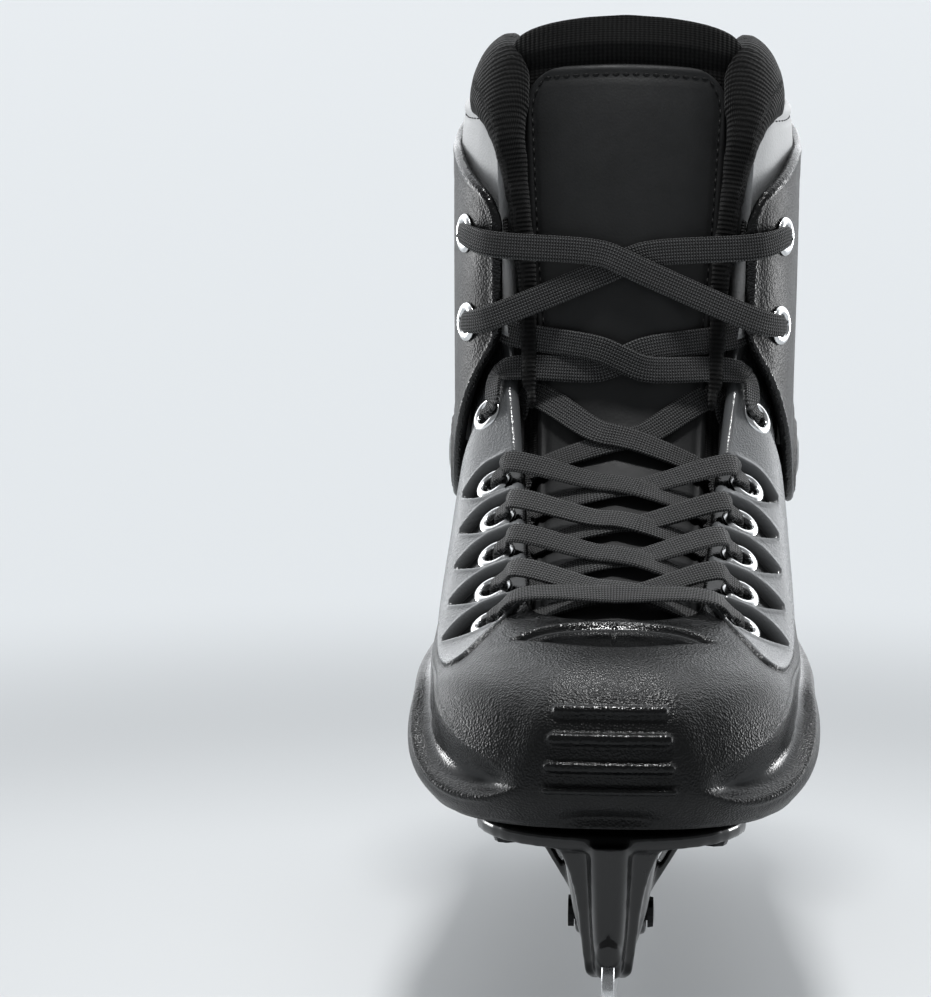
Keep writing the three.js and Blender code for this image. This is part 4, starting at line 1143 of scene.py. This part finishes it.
def add_liner_sides():
    """The grey cloth of the liner over the cuff: a padded band from border to border round the back."""
    s, t = near_edges(150, 0.01), near_edges(60, 0.03)
    lower, upper = (np.array(rail) for rail in LINER_RAILS)
    back_low = lower - np.outer([14, 14, 12, -5, -7, -7], [0, 0, 1])
    back_high = upper - np.outer([6, 6, 6, 9, 14, 16], [0, 0, 1])
    back_high[0] = [44.5, 36.5, 252]
    rows = [np.concatenate([[[34.5, 17.5, 182], [42, 30, 181]], back_low]),
            np.concatenate([[[38.5, 27, 249], [41.8, 31.5, 251]], back_high])]
    plain = grid_on(rows, s, t, False)
    normal = grid_normals(plain, False, np.array([0, 66, 220]))
    steps = np.linalg.norm(np.diff(plain, axis=1), axis=-1)
    from_bottom = np.concatenate([np.zeros((len(s), 1)), np.cumsum(steps, 1)], 1)
    from_top = from_bottom[:, -1:] - from_bottom
    border = np.minimum(from_bottom, from_top)
    puff = 0.9 * smooth(0, 16, from_top) - 0.8 * ridge(from_top - 4.5, 0.8)
    round_off = 1 - np.clip(border / 2, 0, 1)
    half = 2.2 * np.sqrt(np.maximum(1 - round_off**2, 0))
    middle = plain - normal * 1.2
    outer, inner = middle + normal * (half + puff)[..., None], middle - normal * half[..., None]
    sides = make_mesh("liner_sides", *sheet(outer, inner, "ends"), "cuff", "grey_fabric", GREY_CLOTH)
    clean(sides.data, MERGED)
    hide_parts("liner_upper")
    row = int(np.argmin(np.abs(from_top[0] - 4.5)))
    stitch_row("liner_stitches", outer[:, row], normal[:, row], "cuff", thick=0.5)


add_collar()
add_liner_sides()


# ---- Lining and footbed ----------------------------------------------------------------------------

def add_lining():
    """The dark lining inside the shell, as a sock with a rolled top edge, open at the instep."""
    columns, wall = 200, 4.4
    s = np.arange(columns) / columns
    t = np.concatenate([np.linspace(0.12, 0.9, 26), [0.93, 0.95]])
    plain, normal = shell_grid(s, t)
    gap = SHELL_WALL + 1.3
    outer, inner = plain - normal * gap, plain - normal * (gap + wall)
    crown = (outer[:, -1] + inner[:, -1]) / 2 + unit(plain[:, -1] - plain[:, -3]) * 1.8
    floor_in = [inner[:, 0] * [share, share, 0] + [0, 0, 67.5] for share in (0.94, 0.7, 0.4, 0.1)]
    floor_out = [outer[:, 0] * [share, share, 0] + [0, 0, 65.3] for share in (0.1, 0.4, 0.7, 0.97)]
    grid = np.concatenate([np.stack(floor_out, 1), outer, crown[:, None], inner[:, ::-1],
                           np.stack(floor_in, 1)], 1)
    lining = make_mesh("lining_sock", grid.reshape(-1, 3), capped(grid), "boot", "lining", LINING)
    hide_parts("liner_lower")


def add_ankle_lining():
    """The lining's upper part, from the collar's roll down inside the ankle."""
    s = np.linspace(0, 1, 120)
    upper = np.array(LINER_RAILS[1]) * [0.86, 1, 1]
    upper[:, 1] = PIVOT_Y + (upper[:, 1] - PIVOT_Y) * 0.86
    lower = np.array(LINER_RAILS[0]) * [0.80, 1, 1]
    lower[:, 1] = PIVOT_Y + (lower[:, 1] - PIVOT_Y) * 0.82
    deep = lower * [0.94, 1, 1] - [0, 3, 38]
    upper[0] = [36.5, 34, 256]
    grid = grid_on([deep, lower, upper], s, near_edges(40, 0.03), False)
    normal = grid_normals(grid, False, np.array([0, 66, 220]))
    puff = 0.6 * np.sin(np.linspace(0, np.pi, grid.shape[1]))[None, :, None]
    outer, inner = grid + normal * (1.2 + puff), grid - normal * (1.2 + puff)
    lining = make_mesh("ankle_lining", *sheet(outer, inner, "wall"), None, "lining", LINING)
    bind_to_cuff(lining)


def add_footbed():
    """The footbed: a thin cupped pad under the foot."""
    low, high = (np.array(corner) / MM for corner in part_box("footbed"))
    columns = 120
    s = np.arange(columns) / columns
    outline = catmull(both_sides(SHELL_RAILS[0], True), s, True)
    reach = (high - low) / np.maximum(np.ptp(outline, axis=0), 1e-9) * [1, 1, 0]
    own_middle = (outline[:, 1].max() + outline[:, 1].min()) / 2
    middle = np.array([0, (low[1] + high[1]) / 2 - own_middle * reach[1], 0])
    rings = []
    for share, height in ((0.05, 0.15), (0.4, 0.15), (0.75, 0.25), (0.93, 0.75), (0.98, 1.0), (1, 0.8),
                          (1, 0.1), (0.97, 0), (0.5, 0), (0.05, 0)):
        z = low[2] + (high[2] - low[2]) * (0.35 + 0.65 * height if height else 0)
        rings.append(outline * reach * share + middle + [0, 0, z])
    grid = np.stack(rings, 1)
    bed = make_mesh("footbed_pad", grid.reshape(-1, 3), capped(grid), "boot", "lining", LINING)
    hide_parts("footbed")


add_lining()
add_ankle_lining()
add_footbed()


# ---- Blade holder and blade ------------------------------------------------------------------------

def rounded_ring(y_front, y_back, half, z, sides=24, power=3.2):
    """A superellipse ring at one height, between two depths."""
    angle = np.arange(sides) * 2 * np.pi / sides
    c, s = np.cos(angle), np.sin(angle)
    x = np.sign(c) * np.abs(c)**(2 / power) * half
    y = (y_front + y_back) / 2 + np.sign(s) * np.abs(s)**(2 / power) * (y_back - y_front) / 2
    return np.stack([x, y, np.full(sides, z)], -1)


def add_holder():
    """The holder: the CAD's shape and fuller noses melted into one, each nose with a groove and a pad."""
    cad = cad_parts["blade_holder"].data
    points = (places(cad) / MM).tolist()
    faces = [list(polygon.vertices) for polygon in cad.polygons]
    nose = ((58, 8.0, 8), (54, 7.4, 7), (48, 7.0, 6), (42, 6.6, 5.4), (36, 6.2, 5), (29, 5.6, 5),
            (22, 5.0, 4), (18.5, 4.4, 1))
    flank = ((57.5, 15.8), (50, 13.6), (42, 12.0), (34, 10.6), (27, 8.6), (21, 6.4), (17.6, 4.8))
    for sign in (-1, 1):
        columns = [[rounded_ring(sign * (127 + reach), sign * 84, half, z) for z, half, reach in nose],
                   [rounded_ring(sign * 118, sign * 88, half, z, power=3.4) for z, half in flank]]
        for rings in columns:
            faces += [[v + len(points) for v in face] for face in tube_faces(len(rings), len(rings[0]))]
            points += np.concatenate(rings).tolist()
    holder = make_mesh("holder_moulding", points, faces, "boot", "holder", HOLDER)
    remesh = holder.modifiers.new("melt", "REMESH")
    remesh.mode = "VOXEL"
    remesh.voxel_size = 0.0008
    relax = holder.modifiers.new("relax", "CORRECTIVE_SMOOTH")
    relax.rest_source = "ORCO"
    relax.use_only_smooth = True
    relax.factor, relax.iterations = 0.5, 7
    holder.data = with_modifiers(holder)
    holder.modifiers.clear()
    place = places(holder.data) / MM
    x, y, z = place.T
    at_nose = smooth(119, 124, np.abs(y)) * np.sign(y)
    groove = 0.7 * ridge(x, 0.7) * smooth(30, 33, z) * smooth(57, 54, z)
    pad = 0.9 * smooth(4.4, 3.2, np.hypot(x, z - 26.5))
    place[:, 1] += at_nose * (pad - groove)
    holder.data.vertices.foreach_set("co", (place * MM).ravel())
    holder.data.shade_smooth()
    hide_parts("blade_holder")


def blade_profile():
    """The runner's side outline in (y, z): flat in the middle, rising in a curve to each end."""
    foot = [(0, 0), (25, 0), (45, 0), (72.5, 0.3), (100, 1.4), (119, 4.2), (130, 8.5), (134.8, 14),
            (134.5, 20), (131, 24)]
    top = [(108, 24), (103, 37), (94, 37), (85, 37), (80, 24), (40, 24), (0, 24)]
    half = []
    for line, count in ((foot, 60), (top[:2], 6), (top[1:4], 8), (top[3:5], 6), (top[4:], 16)):
        part = catmull([[y, z, 0] for y, z in line], np.linspace(0, 1, count))
        half += [(p[0], p[1]) for p in (part if not half else part[1:])]
    return np.array(half + [(-y, z) for y, z in half[::-1]][1:-1])


def add_blade():
    """The steel runner, with ground bevels along its outline and a flat foot between rounded edges."""
    outline = blade_profile()
    before, after = np.roll(outline, 1, 0), np.roll(outline, -1, 0)
    ahead = unit(after - before)
    inward = np.stack([-ahead[:, 1], ahead[:, 0]], -1)
    inward *= np.sign(np.sum(inward[5] * (np.array([0, 12]) - outline[5])))
    half = 1.8
    rings = []
    for x, inset in ((half, 3.0), (half, 0.35), (half - 0.3, 0.02), (half - 0.6, 0), (-half + 0.6, 0),
                     (-half + 0.3, 0.02), (-half, 0.35), (-half, 3.0)):
        moved = outline + inward * inset
        rings.append(np.stack([np.full(len(outline), x), moved[:, 0], moved[:, 1]], -1))
    grid = np.stack(rings, 1)
    blade = make_mesh("blade_runner", grid.reshape(-1, 3), capped(grid), "boot", "blade_steel", STEEL)
    blade.data.set_sharp_from_angle(angle=math.radians(30))
    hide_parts("blade")


add_holder()
add_blade()


# ---- Bolts, nuts and rivets ------------------------------------------------------------------------

def give(node, material):
    """A CAD node that stays as it is gets its finished material in every slot."""
    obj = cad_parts[node]
    if not obj.material_slots:
        obj.data.materials.append(material)
    for held in obj.material_slots:
        held.material = material


PIVOT_PLASTIC = gloss_plastic("pivot_plastic")
for name in ("right", "left"):
    give(f"pivot_bolt_{name}", PIVOT_PLASTIC)
    give(f"pivot_nut_{name}", PLATED)
for name in ("front", "rear"):
    give(f"blade_bolt_{name}", BLACK_STEEL)
    give(f"blade_nut_{name}", BLACK_STEEL)
for number in range(1, 9):
    give(f"holder_rivet_{number}", BLACK_STEEL)


# ---- Floor and light -------------------------------------------------------------------------------

def add_floor():
    """A wide, pale floor that glows faintly, coloured darker near its middle as painted shade."""
    pale = Nodes("studio_pale", rough=0.9, specular=0.1)
    reach = pale.node("ShaderNodeVectorMath", operation="LENGTH")
    pale.put(reach.inputs[0], pale.place)
    # Painted shade: the floor is darker within 0.3 m of its middle, under the skate, to hide the pool of
    # light the top lamp throws there; it lightens out to 0.62 m.
    far = pale.span(reach.outputs["Value"], 0.3, 0.62, 0, 1)
    pale.color(pale.mix(far, (0.46, 0.47, 0.476, 1), (0.68, 0.695, 0.704, 1)))
    pale.shader.inputs["Emission Color"].default_value = (0.94, 0.97, 1, 1)
    pale.shader.inputs["Emission Strength"].default_value = 0.12
    spread = np.array([-80, -6, -1, 1, 6, 80])
    x, y = np.meshgrid(spread, spread, indexing="ij")
    grid = np.stack([x, y, 0 * x], -1) / MM
    floor = make_mesh("studio_floor", grid.reshape(-1, 3), quads(6, 6, False), None, None, pale.material)


def add_area(name, place, aim, size, power, spread):
    """A rectangular lamp turned to a point, with its beam's spread in degrees."""
    light = bpy.data.lights.new(name, "AREA")
    light.shape = "RECTANGLE"
    light.size, light.size_y = size
    light.energy = power
    light.spread = math.radians(spread)
    obj = add_object(name, light)
    obj.location = place
    obj.rotation_euler = (Vector(aim) - Vector(place)).to_track_quat("-Z", "Y").to_euler()


def add_lights():
    """One lamp over the toe, one low on each side behind, and a sky that is brighter behind the skate."""
    add_area("top", (0, -0.12, 1.3), (0, -0.1, 0.1), (0.24, 0.18), 0.55, 40)
    add_area("strip_left", (-0.7, 0.3, 0.22), (0, 0, 0.26), (0.16, 0.4), 0.22, 45)
    add_area("strip_right", (0.7, 0.3, 0.22), (0, 0, 0.26), (0.16, 0.4), 0.24, 45)
    world = bpy.data.worlds.new("studio")
    bpy.context.scene.world = world
    world.use_nodes = True
    nodes, links = world.node_tree.nodes, world.node_tree.links
    background = nodes["Background"]
    background.inputs["Color"].default_value = (0.86, 0.88, 0.9, 1)
    heading = nodes.new("ShaderNodeTexCoord")
    parts = nodes.new("ShaderNodeSeparateXYZ")
    fade = nodes.new("ShaderNodeMapRange")
    fade.interpolation_type = "SMOOTHSTEP"
    for socket, value in (("From Min", -0.15), ("From Max", 0.85), ("To Min", 0.26), ("To Max", 2.45)):
        fade.inputs[socket].default_value = value
    links.new(heading.outputs["Generated"], parts.inputs["Vector"])
    links.new(parts.outputs["Y"], fade.inputs["Value"])
    links.new(fade.outputs["Result"], background.inputs["Strength"])


add_floor()
add_lights()
bpy.context.scene.view_settings.view_transform = "Standard"
bpy.context.scene.view_settings.look = "Medium High Contrast"
